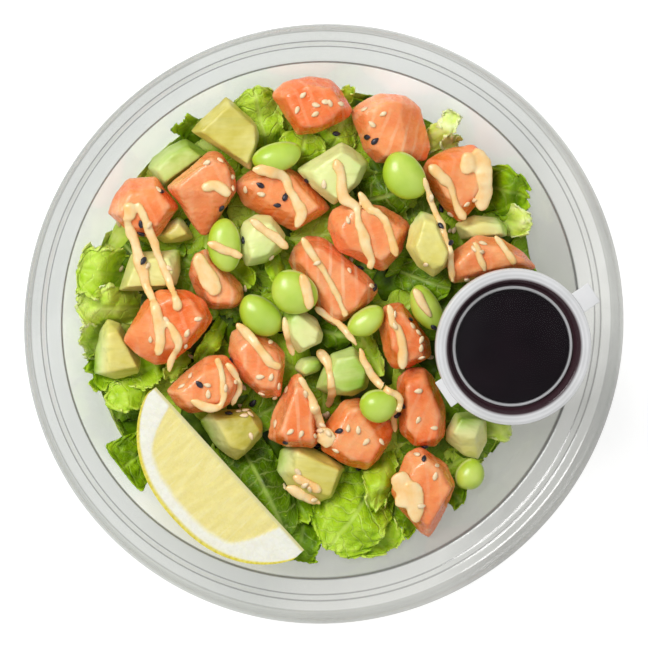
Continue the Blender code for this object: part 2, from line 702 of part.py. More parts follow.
def leaf_object(index, name, leaf, ceiling, group):
    """A torn piece of leaf: a thin wavy sheet with its root in the core. It stays below the ceiling."""
    root, tip, width, lift, wave = leaf
    draw = random.Random(SEED * 1000 + index)
    phase = draw.uniform(0, math.tau)
    along = Vector(tip) - Vector(root)
    across = Vector((-along.y, along.x)).normalized() * width / 2
    bm = bmesh.new()
    bmesh.ops.create_grid(bm, x_segments=4, y_segments=2, size=0.5)
    for v in bm.verts:
        u, side = v.co.x + 0.5, v.co.y * 2
        lobe, ruffle = leaf_place(u, side, phase, along.length, wave, name.startswith("fan"))
        spot = Vector(root) + along * u + across * side * lobe
        rise = -1.6 + (lift + 1.6) * min(u * 2.2, 1) + ruffle * min(u * 3, 1)
        v.co = leaf_vertex(spot, rise, ceiling)
    bmesh.ops.triangulate(bm, faces=bm.faces)
    made = new_object(name, mesh_from(bm, name), group)
    sheet = made.modifiers.new("thickness", "SOLIDIFY")
    sheet.thickness = LEAF_THICKNESS * MM
    sheet.offset = 0
    mesh = evaluated_mesh(made)
    made.modifiers.clear()
    made.data = mesh
    return made


def wall_limit(z):
    """How far out a leaf may reach at height z."""
    return tub_radius(z) * math.cos(math.pi / TUB_SIDES) - WALL_CLEARANCE


def leaf_vertex(spot, rise, ceiling):
    """A leaf's point over the packed salad: it turns up along the tub's wall and ducks under the toppings."""
    x, y = spot
    radius = math.hypot(x, y)
    base = core_top(x, y) + rise
    z = base
    for _ in range(8):
        z = min(base + WALL_CLIMB * max(radius - wall_limit(z), 0), LEDGE_HEIGHT - 0.9)
    for _ in range(2):
        pull = min(wall_limit(z) / radius, 1) if radius else 1
        z = min(z, ceiling[HeightMap.cell(x * pull, y * pull)] - GAP - LEAF_THICKNESS)
    pull = min(wall_limit(z) / radius, 1) if radius else 1
    return Vector((x * pull, y * pull, z))


def crosses(heights, mesh):
    """Whether a leaf meets a topping: it isn't wholly below the toppings' undersides."""
    upper, _ = heights.raster(mesh)
    ceiling = spread(heights.under, np.minimum)
    return bool((upper > ceiling - GAP).any())


def fuse(base, group, solver="EXACT"):
    """Joins the objects of a collection to the base by one Boolean union, then removes them."""
    if not group.objects:
        return
    union = base.modifiers.new("union", "BOOLEAN")
    union.operation = "UNION"
    union.operand_type = "COLLECTION"
    union.collection = group
    union.solver = solver
    mesh = evaluated_mesh(base)
    base.modifiers.clear()
    base.data = mesh
    keep_main_body(mesh)
    for obj in list(group.objects):
        bpy.data.objects.remove(obj)


def keep_main_body(mesh):
    """Drops loose scraps and sealed hollows: only the largest closed surface stays."""
    bm = bmesh.new()
    bm.from_mesh(mesh)
    bmesh.ops.triangulate(bm, faces=bm.faces)
    left = set(bm.verts)
    bodies = []
    while left:
        found, front = set(), [left.pop()]
        while front:
            v = front.pop()
            found.add(v)
            for edge in v.link_edges:
                other = edge.other_vert(v)
                if other in left:
                    left.discard(other)
                    front.append(other)
        bodies.append(found)
    bodies.sort(key=extent, reverse=True)
    scraps = [v for body in bodies[1:] for v in body]
    bmesh.ops.delete(bm, geom=scraps, context="VERTS")
    bm.to_mesh(mesh)
    bm.free()


def extent(body):
    """Diagonal of the box round a set of points."""
    points = np.array([v.co for v in body])
    return float(np.linalg.norm(points.max(0) - points.min(0)))


def sampled(points, step):
    """Points every step along a line through the given points."""
    out = []
    for (x0, y0), (x1, y1) in zip(points, points[1:]):
        count = max(int(math.hypot(x1 - x0, y1 - y0) / step), 1)
        out += [(x0 + (x1 - x0) * i / count, y0 + (y1 - y0) * i / count) for i in range(count)]
    return out + [points[-1]]


def inside_of(heights, x, y, reach):
    """The piece that owns every cell within reach of a point, or -1."""
    i, j = heights.cell(x, y)
    cells = int(reach / CELL)
    owners = heights.owner[i - cells:i + cells + 1, j - cells:j + cells + 1]
    return int(owners.flat[0]) if (owners == owners.flat[0]).all() else -1


def drizzle_runs(heights):
    """Stretches of each stroke that lie well inside one piece, as piece name and points."""
    runs = []
    for stroke in STROKES:
        run, current = [], -1
        for x, y in sampled(stroke, DRIZZLE_STEP):
            owner = inside_of(heights, x, y, DRIZZLE_RADIUS + 0.7)
            if owner != current and run:
                runs.append((heights.names[current], run))
                run = []
            current = owner
            if owner >= 0:
                i, j = heights.cell(x, y)
                run.append((x, y, heights.top[i, j]))
        if run:
            runs.append((heights.names[current], run))
    return [(name, run) for name, run in runs if len(run) >= 6]


def drizzle_object(run, group):
    """A bead of mayonnaise along a run, half sunk in what it lies on."""
    line = bpy.data.curves.new("bead", "CURVE")
    line.dimensions = "3D"
    line.bevel_depth = DRIZZLE_RADIUS * MM
    line.bevel_resolution = 1
    line.use_fill_caps = True
    count = max(len(run) // 4, 2)
    picked = [run[round(i * (len(run) - 1) / (count - 1))] for i in range(count)]
    spline = line.splines.new("POLY")
    spline.points.add(len(picked) - 1)
    for point, (x, y, z) in zip(spline.points, picked):
        point.co = (x * MM, y * MM, (z + 0.15) * MM, 1)
    made = bpy.data.objects.new("bead", line)
    group.objects.link(made)
    mesh = evaluated_mesh(made)
    bpy.data.objects.remove(made)
    bm = bmesh.new()
    bm.from_mesh(mesh)
    bmesh.ops.remove_doubles(bm, verts=bm.verts, dist=0.00001)
    bmesh.ops.recalc_face_normals(bm, faces=bm.faces)
    bm.to_mesh(mesh)
    bm.free()
    return new_object("bead", mesh, group)


def seed_object(x, y, z, yaw, group):
    """A sesame seed, half sunk."""
    bm = bmesh.new()
    bmesh.ops.create_icosphere(bm, subdivisions=0, radius=0.5)
    bmesh.ops.scale(bm, vec=SEED_SIZE, verts=bm.verts)
    bm.transform(Matrix.Translation((x, y, z + 0.2)) @ Matrix.Rotation(yaw, 4, "Z"))
    return new_object("seed", mesh_from(bm, "seed"), group)


def seed_spots(heights, name, count, draw):
    """Places well inside the top of a piece, evenly apart."""
    index = heights.names.index(name)
    cells = np.argwhere(heights.owner == index)
    spots = []
    for _ in range(60):
        i, j = cells[draw.randrange(len(cells))]
        x, y = heights.x[i, j], heights.y[i, j]
        apart = all(math.hypot(x - a, y - b) > 6 for a, b, _ in spots)
        if apart and inside_of(heights, x, y, 2.4) == index:
            spots.append((x, y, heights.top[i, j]))
        if len(spots) == count:
            break
    return spots


def pot_matrix(height):
    """The pot's own axis at a height, turned so that its tab is along +X."""
    turn = Matrix.Rotation(math.radians(TAB_ANGLE), 4, "Z")
    return Matrix.Translation((POT_PLACE[0] * MM, POT_PLACE[1] * MM, height * MM)) @ turn


def build_pot(group, finishes):
    """Cup, soy sauce and snapped-on lid with its tab and hinge strap."""
    cup_bm = turned_solid(
        (
            (0.0, 0.0),
            (POT_BASE_RADIUS, 0.0),
            (POT_RIM_RADIUS - 0.6, POT_HEIGHT - 1.4),
            (POT_RIM_RADIUS + 0.6, POT_HEIGHT - 1.4),
            (POT_RIM_RADIUS + 0.6, POT_HEIGHT - 0.7),
            (POT_RIM_RADIUS - 1.2, POT_HEIGHT - 0.7),
            (POT_BASE_RADIUS - POT_WALL, 0.9),
            (0.0, 0.9),
        ),
        POT_SIDES,
    )
    cup = new_object("sauce_pot_cup", mesh_from(cup_bm, "sauce_pot_cup"), group, finishes["pot"])
    cup.matrix_world = pot_matrix(POT_BASE)

    slope = (POT_RIM_RADIUS - 1.2 - POT_BASE_RADIUS + POT_WALL) / (POT_HEIGHT - 1.6)
    low = 0.9 + GAP
    sauce_bm = turned_solid(
        (
            (0.0, low),
            (POT_BASE_RADIUS - POT_WALL - GAP, low),
            (POT_BASE_RADIUS - POT_WALL - GAP + slope * (SAUCE_HEIGHT - low), SAUCE_HEIGHT),
            (0.0, SAUCE_HEIGHT),
        ),
        POT_SIDES,
    )
    sauce = new_object("soy_sauce", mesh_from(sauce_bm, "soy_sauce"), group, finishes["sauce"])
    sauce.matrix_world = pot_matrix(POT_BASE)

    top = POT_HEIGHT
    lid_bm = turned_solid(
        (
            (0.0, top - 2.6),
            (19.4, top - 2.6),
            (19.9, top - 3.6),
            (21.6, top - 3.6),
            (22.6, top - 0.35),
            (LID_RADIUS - 0.8, top - 0.35),
            (LID_RADIUS - 0.8, top - 2.6),
            (LID_RADIUS, top - 2.6),
            (LID_RADIUS, top + 0.2),
            (LID_RADIUS - 0.7, top + 0.9),
            (22.4, top + 0.7),
            (21.1, top - 2.9),
            (20.5, top - 2.9),
            (20.0, top - 1.9),
            (0.0, top - 1.9),
        ),
        POT_SIDES,
    )
    lid = new_object("sauce_pot_lid", mesh_from(lid_bm, "sauce_pot_lid"), group, finishes["pot"])
    extras = collection("lid_extras")
    for side, size in ((1, TAB_SIZE), (-1, HINGE_SIZE)):
        bm = bmesh.new()
        bmesh.ops.create_cube(bm, size=1.0)
        bmesh.ops.scale(bm, vec=size, verts=bm.verts)
        reach = LID_RADIUS - 1.2 + size[0] / 2
        bm.transform(Matrix.Translation((side * reach, 0, top - 0.4)))
        new_object("strap", mesh_from(bm, "strap"), extras)
    fuse(lid, extras)
    bpy.data.collections.remove(extras)
    lid.matrix_world = pot_matrix(POT_BASE)
    return cup, sauce, lid


def build():
    for obj in list(bpy.data.objects):
        bpy.data.objects.remove(obj)
    bowl_group = collection("salmon_bowl")
    work_group = collection("joined_pieces")
    finishes = {
        "tub": material("clear_plastic", (0.86, 0.88, 0.88), 0.12, alpha=0.35),
        "pot": material("milky_plastic", (0.86, 0.87, 0.88), 0.3, alpha=0.6),
        "sauce": material("soy_sauce", (0.03, 0.015, 0.015), 0.08),
        "salmon": material("raw_salmon", (0.93, 0.40, 0.24), 0.3),
        "avocado": material("avocado_flesh", (0.74, 0.76, 0.36), 0.45),
        "bean": material("edamame_skin", (0.52, 0.74, 0.20), 0.35),
        "lemon": material("lemon_flesh", (0.93, 0.88, 0.52), 0.4),
        "leaf": material("salad_leaf", (0.25, 0.47, 0.10), 0.45),
    }
    tub = turned_shell("tub", tub_profile(), TUB_SIDES, TUB_WALL, finishes["tub"], bowl_group)
    heights = HeightMap()
    salad = new_object("salad_leaves", salad_core_mesh("salad_leaves"), bowl_group, finishes["leaf"])
    heights.add("salad_leaves", *heights.raster(salad.data), over_salad=False)

    heights.block(POT_PLACE, POT_BASE_RADIUS + 4.6, POT_BASE + POT_HEIGHT)
    lemon = new_object("lemon_wedge", lemon_mesh("lemon_wedge"), bowl_group, finishes["lemon"])
    heights.add("lemon_wedge", *heights.settle(lemon.data, 0))

    toppings = {}
    for number, (name, chunk) in enumerate(CHUNKS.items()):
        mesh = chunk_mesh(name, chunk, number)
        heights.add(name, *heights.settle(mesh))
        toppings[name] = new_object(name, mesh, bowl_group, finishes[name.split("_")[0]])
    for name, (place, size, yaw) in BEANS.items():
        mesh = bean_mesh(name, size, yaw, place)
        heights.add(name, *heights.settle(mesh))
        toppings[name] = new_object(name, mesh, bowl_group, finishes["bean"])

    for part in build_pot(bowl_group, finishes):
        placed = evaluated_mesh(part)
        heights.add(part.name, *heights.raster(placed))

    extras = {name: [] for name in toppings}
    for name, run in drizzle_runs(heights):
        if name in extras:
            extras[name].append(("bead", run))
    draw = random.Random(SEED)
    for x, y in BLACK_SEEDS:
        owner = inside_of(heights, x, y, 2.0)
        if owner >= 0 and heights.names[owner] in extras:
            top = heights.top[heights.cell(x, y)]
            extras[heights.names[owner]].append(("seed", (x, y, top, draw.uniform(0, math.pi))))
    for name in toppings:
        if name.startswith("salmon"):
            for spot in seed_spots(heights, name, PALE_SEEDS_ON_SALMON, draw):
                extras[name].append(("seed", (*spot, draw.uniform(0, math.pi))))
    for name, found in extras.items():
        for kind, place in found:
            if kind == "bead":
                drizzle_object(place, work_group)
            else:
                seed_object(*place, work_group)
        fuse(toppings[name], work_group)

    ceilings = [heights.under]
    for _ in range(14):
        ceilings.append(spread(ceilings[-1], np.minimum))
    for index, (name, leaf) in enumerate(LEAVES.items()):
        for cells in (6, 10, 14):
            made = leaf_object(index, name, leaf, ceilings[cells], work_group)
            if not crosses(heights, made.data):
                break
            bpy.data.objects.remove(made)
    fuse(salad, work_group, "MANIFOLD")
    bpy.data.collections.remove(work_group)
    for topping in toppings.values():
        topping.data.set_sharp_from_angle(angle=math.radians(50))


build()
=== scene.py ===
"""Looks of the salmon bowl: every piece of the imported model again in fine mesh, with its colours and gloss.

Lengths are in millimetres and are turned to metres when a mesh is made. The sizes, places and shapes are
those of the CAD part. The camera looks almost straight down, from a little to the upper left.
"""

import math
import random

import bmesh
import bpy
import numpy as np
from mathutils import Matrix, Vector, noise
from mathutils.bvhtree import BVHTree


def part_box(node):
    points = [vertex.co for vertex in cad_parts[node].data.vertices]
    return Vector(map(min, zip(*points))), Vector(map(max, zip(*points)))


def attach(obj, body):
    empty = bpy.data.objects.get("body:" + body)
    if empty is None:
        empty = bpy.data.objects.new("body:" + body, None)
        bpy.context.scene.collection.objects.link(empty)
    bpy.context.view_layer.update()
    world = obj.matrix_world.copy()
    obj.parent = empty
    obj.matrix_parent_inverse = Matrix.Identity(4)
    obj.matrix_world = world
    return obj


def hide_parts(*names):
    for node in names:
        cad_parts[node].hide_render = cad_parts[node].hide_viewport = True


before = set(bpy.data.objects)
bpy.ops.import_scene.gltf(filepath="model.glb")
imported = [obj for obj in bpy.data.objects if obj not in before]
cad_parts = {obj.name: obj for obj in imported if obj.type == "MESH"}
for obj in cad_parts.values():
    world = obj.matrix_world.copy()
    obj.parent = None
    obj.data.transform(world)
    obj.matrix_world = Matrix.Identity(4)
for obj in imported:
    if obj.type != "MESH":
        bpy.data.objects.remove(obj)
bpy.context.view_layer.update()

MM = 0.001
GAP = 0.35
SEED = 7

RIM_RADIUS = 100.0
TUB_HEIGHT = 63.0
TUB_WALL = 0.8
TUB_SIDES = 44
TUB_LOOK_SIDES = 176
LEDGE_RADIUS = 87.2
LEDGE_HEIGHT = 50.0
FOOT_RADIUS = 66.5
FOOT_HEIGHT = 8.0
WALL_SLOPE = (LEDGE_RADIUS - FOOT_RADIUS) / (LEDGE_HEIGHT - FOOT_HEIGHT)

CROWN_HEIGHT = 35.0
CROWN_DROP = 4.5
CROWN_REACH = 78.0
CORE_GAP = 1.0
CORE_BUMP = 1.3
LEAF_THICKNESS = 0.9
LEAF_CELL = 0.42
WALL_CLEARANCE = 1.4
WALL_CLIMB = 1.0
CORE_RINGS = 70
CORE_SIDES = 150
CORE_SINK = 0.6
LEAF_CELLS_ALONG = (26, 64)
LEAF_CELLS_ACROSS = (20, 44)
TOP_PATCHES = 80
SIDE_PATCHES = 120
TOP_PATCH_GRID = (18, 13)
SIDE_PATCH_GRID = (14, 11)
# Painted light: the salad is paler where the light comes through the wall: outside a radius, and this far to
# the upper left
PALE_REACH = 60.0
PALE_CORE_RADIUS = 66.0
PALE_PATCH_RADIUS = 68.0

OUTLINE_GROWTH = 1.05
BASE_SHARE = 0.66
BELLY_SHARE = (0.34, 0.5)
FACET_ANGLE = math.radians(12)
SALMON_ROUNDING = 1.2
VOXEL = {"salmon": 0.65, "avocado": 0.58, "mayonnaise": 0.46}
SHARP_ANGLE = math.radians(40)

POT_PLACE = (63.1, -7.7)
POT_BASE = 40.0
POT_HEIGHT = 22.0
POT_BASE_RADIUS = 17.2
POT_RIM_RADIUS = 24.6
POT_WALL = 0.7
SAUCE_HEIGHT = 17.2
LID_RADIUS = 26.4
TAB_ANGLE = 33.7
POT_LOOK_SIDES = 112
# The tab and the hinge strap on the other side: angle, length, width
STRAPS = ((TAB_ANGLE, 7.6, 7.7), (TAB_ANGLE + 180, 3.4, 10.0))
STRAP_START = 25.2
STRAP_THICKNESS = 0.8

LEMON_PLACE = (-31.6, -48.6)
LEMON_LENGTH = 75.0
LEMON_RADIUS = 25.5
LEMON_ANGLE = 55.0
LEMON_YAW = -48.4
LEMON_STEPS = 131
FACE_STEPS = 41
RIND_STEPS = 25

CELL = 0.5
HALF_SPAN = 102.0
CELLS = int(2 * HALF_SPAN / CELL)
# How many cells around a topping its underside still holds the leaves down
CEILING_REACH = 6

# Plan of the toppings: one unit is 0.3344 mm, x to the right and y down, with the tub's axis at the middle
PLAN_UNIT = 0.3344
PLAN_MIDDLE = (319.5, 319.0)

# name: height in mm, then on the plan the corners of its widest outline and those of its flatter top.
# A piece lies on those above it in the list.
CHUNKS = {
    "avocado_14": (11,
        "155,234 166,221 178,213 187,224 193,236 178,240 162,241",
        "164,231 176,220 184,230 170,235"),
    "avocado_06": (11,
        "459,224 478,215 500,217 513,227 512,237 488,239 466,240",
        "468,227 484,221 502,224 506,233 476,235"),
    "avocado_09": (11,
        "294,369 300,359 314,356 323,362 320,371 303,378",
        "300,368 306,361 317,362 314,369 304,373"),
    "salmon_10": (16,
        (
            "288,260 293,245 306,234 324,236 332,254 352,264 368,274 379,288 372,299 352,312 336,325 322,317 "
            "306,280 "
        ),
        "298,258 308,245 320,247 344,268 364,284 350,303 334,310 316,280"),
    "salmon_06": (16,
        "186,272 192,252 206,245 222,266 241,284 243,298 232,307 208,306 195,292",
        "195,270 204,255 220,274 232,288 227,298 208,296"),
    "salmon_13": (17,
        "226,350 230,331 240,325 272,340 284,353 283,370 279,396 262,398 240,379",
        "236,346 246,337 270,348 276,362 271,384 257,383 240,362"),
    "salmon_05": (16,
        "232,181 252,166 284,163 302,173 331,206 304,222 293,229 282,217 262,203 242,203",
        "246,179 268,172 286,173 314,203 298,214 270,200"),
    "avocado_07": (15,
        "280,320 284,305 290,302 316,318 322,332 320,341 297,352 288,342",
        "287,318 294,311 314,328 312,339 300,344 290,333"),
    "avocado_10": (14,
        "196,424 206,413 244,410 258,425 257,439 246,452 231,464 210,448",
        "210,420 243,416 252,430 238,450 224,444"),
    "avocado_11": (14,
        "277,474 281,453 301,446 326,458 345,472 335,484 332,502 314,509 294,498",
        "296,453 316,459 336,472 328,496 306,492 294,474"),
    "avocado_12": (14,
        "91,371 93,348 98,329 105,317 118,322 126,340 138,360 136,372 112,377",
        "104,330 114,328 124,346 132,362 106,367"),
    "avocado_05": (15,
        "117,287 121,270 130,250 164,248 178,247 178,268 174,282 150,288",
        "124,281 134,256 164,253 168,266 161,280"),
    "avocado_15": (11,
        "146,161 151,151 166,140 183,133 207,148 189,160 170,172 160,183",
        "154,162 168,148 184,141 196,150 178,161 163,174"),
    "salmon_01": (15,
        "271,84 284,71 308,65 329,68 341,80 352,97 348,107 330,116 316,122 296,123 281,102",
        "284,84 306,74 328,78 340,97 318,113 300,114"),
    "salmon_02": (16,
        "353,102 364,93 382,85 408,87 424,100 434,138 430,152 402,152 380,155 366,141",
        "366,102 388,93 402,95 405,141 386,146 372,134"),
    "salmon_03": (15,
        "101,206 108,190 121,172 150,170 162,184 173,201 160,217 150,231 128,229",
        "112,204 124,183 148,181 161,197 149,216 127,219"),
    "salmon_04": (17,
        "164,187 186,169 205,152 216,153 231,172 233,192 218,214 201,241 186,220",
        "172,186 204,160 221,168 225,188 208,193 186,192"),
    "salmon_07": (15,
        "113,341 129,330 132,305 148,290 178,290 194,301 203,320 181,348 164,361 146,365 126,352",
        "139,328 142,306 160,297 180,301 190,317 170,342 150,346"),
    "salmon_08": (16,
        "428,176 433,162 459,150 480,148 492,157 500,180 496,197 478,212 467,227 450,212",
        "438,174 444,165 478,158 489,178 478,196 464,210 450,196"),
    "salmon_09": (17,
        "323,232 326,214 344,203 378,210 398,222 405,229 398,254 379,276 354,262 332,253",
        "333,232 346,212 374,217 391,232 386,252 374,261 344,249"),
    "salmon_11": (13,
        "449,264 456,250 479,235 503,238 528,253 541,270 500,274 468,284 454,284",
        "458,264 478,244 500,246 522,260 490,267 466,274"),
    "salmon_12": (16,
        "378,320 384,305 403,301 420,328 432,341 433,356 412,368 393,369 384,352",
        "387,322 392,311 402,312 422,342 422,354 404,360 392,346"),
    "salmon_14": (15,
        "166,393 184,376 208,359 226,358 240,374 242,388 234,404 220,413 192,417 176,408",
        "180,393 200,376 222,368 232,386 218,402 190,406"),
    "salmon_15": (16,
        "280,386 286,373 294,372 306,398 312,440 305,447 276,444 259,437 265,412",
        "285,386 294,384 302,408 303,436 280,436 270,428 276,408"),
    "salmon_16": (16,
        "336,402 352,400 388,428 384,444 374,462 360,473 338,467 314,453 312,436 328,424",
        "338,411 350,409 366,432 370,446 360,462 342,458 322,444 334,426"),
    "salmon_17": (16,
        "399,380 410,370 426,369 437,379 449,412 448,438 438,450 416,449 402,436",
        "406,385 424,378 432,396 440,416 436,437 420,441 408,428"),
    "salmon_18": (15,
        "410,472 412,457 428,452 454,469 464,490 455,514 437,544 428,540 405,513 398,495",
        "418,470 430,461 446,476 453,492 442,514 433,528 414,508 407,492"),
    "avocado_01": (13,
        "183,127 190,118 217,94 224,98 247,120 250,134 241,165 206,146",
        "192,126 220,101 243,123 244,138 236,157 210,142"),
    "avocado_02": (14,
        "296,173 318,163 340,146 352,152 368,167 358,188 333,209 312,192",
        "310,174 338,155 357,169 350,185 334,200 318,187"),
    "avocado_03": (14,
        "400,243 404,222 415,207 430,212 446,248 441,263 427,272 412,262",
        "408,240 416,215 426,219 438,246 434,258 425,262 414,254"),
    "avocado_04": (13,
        "240,232 245,212 257,205 273,206 288,225 284,241 268,253 248,256",
        "248,228 256,213 271,213 280,227 268,242 252,246"),
    "avocado_08": (14,
        "313,392 319,373 328,357 350,350 368,372 365,392 350,400 328,399",
        "324,384 332,361 349,358 359,372 357,389 340,392"),
    "avocado_13": (15,
        "448,432 457,415 474,413 489,424 490,445 481,463 466,458 448,443",
        "453,431 460,418 481,420 474,437 460,438"),
}
# name: middle on the plan, then length, width, height in mm, then yaw
BEANS = {
    "edamame_1": ((268, 151), (16.8, 10.0, 9.0), 14),
    "edamame_2": ((402, 165), (17.4, 13.6, 9.5), -54),
    "edamame_3": ((224, 243), (18.0, 11.2, 9.0), -86),
    "edamame_4": ((296, 292), (16.6, 14.4, 9.5), -35),
    "edamame_5": ((259, 319), (16.6, 12.2, 9.5), -42),
    "edamame_6": ((367, 312), (13.8, 9.2, 8.5), 34),
    "edamame_7": ((424, 313), (17.0, 9.6, 8.5), -61),
    "edamame_8": ((371, 408), (12.8, 11.4, 9.0), 4),
    "edamame_9": ((470, 475), (11.2, 9.8, 9.0), 60),
}
# Which way the green outer side of each avocado piece faces, and how green the piece is as a whole.
# Below 0 it is olive brown
AVOCADO_GREEN = {
    "avocado_01": ((0.8, -0.3, -0.3), -0.22),
    "avocado_02": ((0.8, 0.2, -0.3), 0.30),
    "avocado_03": ((-0.3, 0.8, -0.4), -0.06),
    "avocado_04": ((0.6, -0.7, 0.0), 0.30),
    "avocado_05": ((0.9, 0.2, 0.0), 0.10),
    "avocado_06": ((0.9, 0.4, 0.0), 0.10),
    "avocado_07": ((-0.8, 0.5, 0.2), 0.22),
    "avocado_08": ((0.6, -0.4, 0.6), 0.56),
    "avocado_09": ((0.5, 0.0, 0.5), 0.30),
    "avocado_10": ((-0.8, -0.4, 0.3), -0.42),
    "avocado_11": ((-0.9, 0.3, 0.2), -0.20),
    "avocado_12": ((-0.9, 0.0, 0.1), -0.18),
    "avocado_13": ((-0.1, 0.9, 0.4), 0.10),
    # Painted shade: avocado_14 is olive brown as it lies in shadow
    "avocado_14": ((0.2, 0.9, 0.0), -0.25),
    "avocado_15": ((0.7, 0.7, -0.2), 0.56),
}
# From deep red at -1 to pink at 1. The rest are drawn at random
SALMON_TONE = {
    "salmon_01": -0.8, "salmon_02": 0.6, "salmon_03": 0.3, "salmon_04": 0.7, "salmon_05": 0.4,
    "salmon_06": 0.7, "salmon_07": -0.5, "salmon_08": -0.1, "salmon_09": 0.6, "salmon_10": 0.7,
    "salmon_12": -0.3, "salmon_13": 0.7, "salmon_15": -0.4, "salmon_16": -0.1, "salmon_17": -0.6,
    "salmon_18": 0.3,
}
# How strongly the white fat lines show. The rest have FAT_LINES
FAT_LINES = 0.22
SALMON_FAT = {
    "salmon_02": 0.5, "salmon_06": 0.45, "salmon_10": 0.75, "salmon_13": 0.4, "salmon_15": 0.4,
    "salmon_17": 0.35,
}
# name: root x, y, tip x, y, then width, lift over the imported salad, and height of its waves
LEAVES = {
    "curly_01": ((-62, 14), (-86, 20), 20, 15, 2.4),
    "curly_02": ((-60, 4), (-85, 7), 17, 14, 2.4),
    "curly_03": ((-60, -6), (-85, -7), 17, 14, 2.2),
    "curly_04": ((-58, -13), (-83, -18), 15, 10, 2.0),
    "curly_05": ((-55, -22), (-74, -27), 12, 8, 1.8),
    "fan_06": ((-50, -38), (-73, -53), 25, 12, 1.2),
    "curly_07": ((-34, 64), (-26, 81), 12, 10, 1.6),
    "curly_08": ((-38, 60), (-50, 74), 13, 10, 1.6),
    "crinkled_09": ((-17, 57), (-23, 80), 17, 14, 1.8),
    "smooth_10": ((-8, 51), (-4, 64), 17, 10, 1.4),
    "crinkled_11": ((4, 57), (11, 73), 17, 12, 1.8),
    "curly_12": ((8, 69), (11, 80), 7, 10, 1.0),
    "frilled_13": ((35, 56), (49, 74), 9, 13, 1.8),
    "frilled_14": ((34, 59), (52, 60), 9, 11, 1.6),
    "curly_15": ((53, 46), (74, 41), 22, 13, 2.4),
    "pale_16": ((55, 35), (73, 31), 13, 9, 1.4),
    "smooth_17": ((12, 39), (31, 45), 16, 11, 1.4),
    "smooth_18": ((27, 16), (45, 10), 13, 10, 1.4),
    "smooth_19": ((38, 31), (49, 24), 9, 8, 1.0),
    "crinkled_20": ((12, -1), (21, -19), 9, 12, 1.2),
    "smooth_21": ((0, -4), (12, -6), 12, 8, 1.2),
    "strip_22": ((-33, 21), (-23, 11), 10, 9, 1.0),
    "strip_23": ((-17, 24), (-14, 13), 7, 8, 1.0),
    "strip_24": ((-32, 0), (-42, -15), 7, 10, 1.0),
    "curly_25": ((-52, -13), (-66, -22), 12, 9, 1.6),
    "curly_26": ((-45, -10), (-52, -21), 9, 9, 1.4),
    "smooth_27": ((-30, -36), (-11, -74), 18, 12, 1.8),
    "crinkled_28": ((21, -54), (2, -79), 25, 15, 2.4),
    "curly_29": ((24, -43), (18, -66), 13, 15, 2.4),
    "curly_30": ((12, -64), (25, -84), 21, 11, 2.2),
    "curly_31": ((-4, -64), (-9, -87), 15, 11, 2.2),
    "curly_32": ((-13, -56), (-3, -70), 13, 10, 1.8),
    "curly_33": ((20, -35), (22, -47), 9, 8, 1.2),
    "curly_34": ((25, -59), (39, -77), 15, 9, 1.8),
    "curly_35": ((43, -56), (52, -68), 10, 8, 1.4),
    "pale_36": ((50, -33), (67, -42), 10, 8, 1.2),
    "smooth_37": ((-66, 26), (-53, 12), 12, 7, 1.0),
    "smooth_38": ((-58, 27), (-45, 22), 11, 7, 1.0),
}
# Kind of leaf: height of its frills, of its crinkles, depth of its tears, and strength of its veins
LEAF_KINDS = {
    "curly": (1.5, 0.5, 3.0, 0.45),
    "smooth": (0.4, 0.25, 0.9, 0.8),
    "crinkled": (0.8, 0.9, 1.8, 0.9),
    "frilled": (1.7, 0.5, 3.6, 0.3),
    "pale": (0.9, 0.4, 1.8, 0.4),
    "strip": (0.5, 0.3, 0.9, 0.5),
    "fan": (0.6, 0.5, 0.8, 0.6),
}
# How light each kind of leaf is, from dark green at 0 to pale at 1, and then single leaves that differ
KIND_TONE = {
    "fan": 0.33, "curly": 0.56, "smooth": 0.26, "crinkled": 0.52, "frilled": 0.9, "pale": 0.82,
    "strip": 0.5,
}
LEAF_TONES = {
    "curly_01": 0.66, "curly_02": 0.76, "curly_03": 0.82, "curly_04": 0.46, "curly_07": 0.3,
    "curly_08": 0.34, "crinkled_09": 0.64, "smooth_10": 0.55, "crinkled_11": 0.68, "curly_15": 0.29,
    "curly_31": 0.3, "curly_32": 0.36, "curly_34": 0.28, "curly_35": 0.25, "crinkled_20": 0.62,
    "smooth_17": 0.18, "smooth_27": 0.2, "crinkled_28": 0.52, "curly_29": 0.58, "curly_33": 0.62,
}
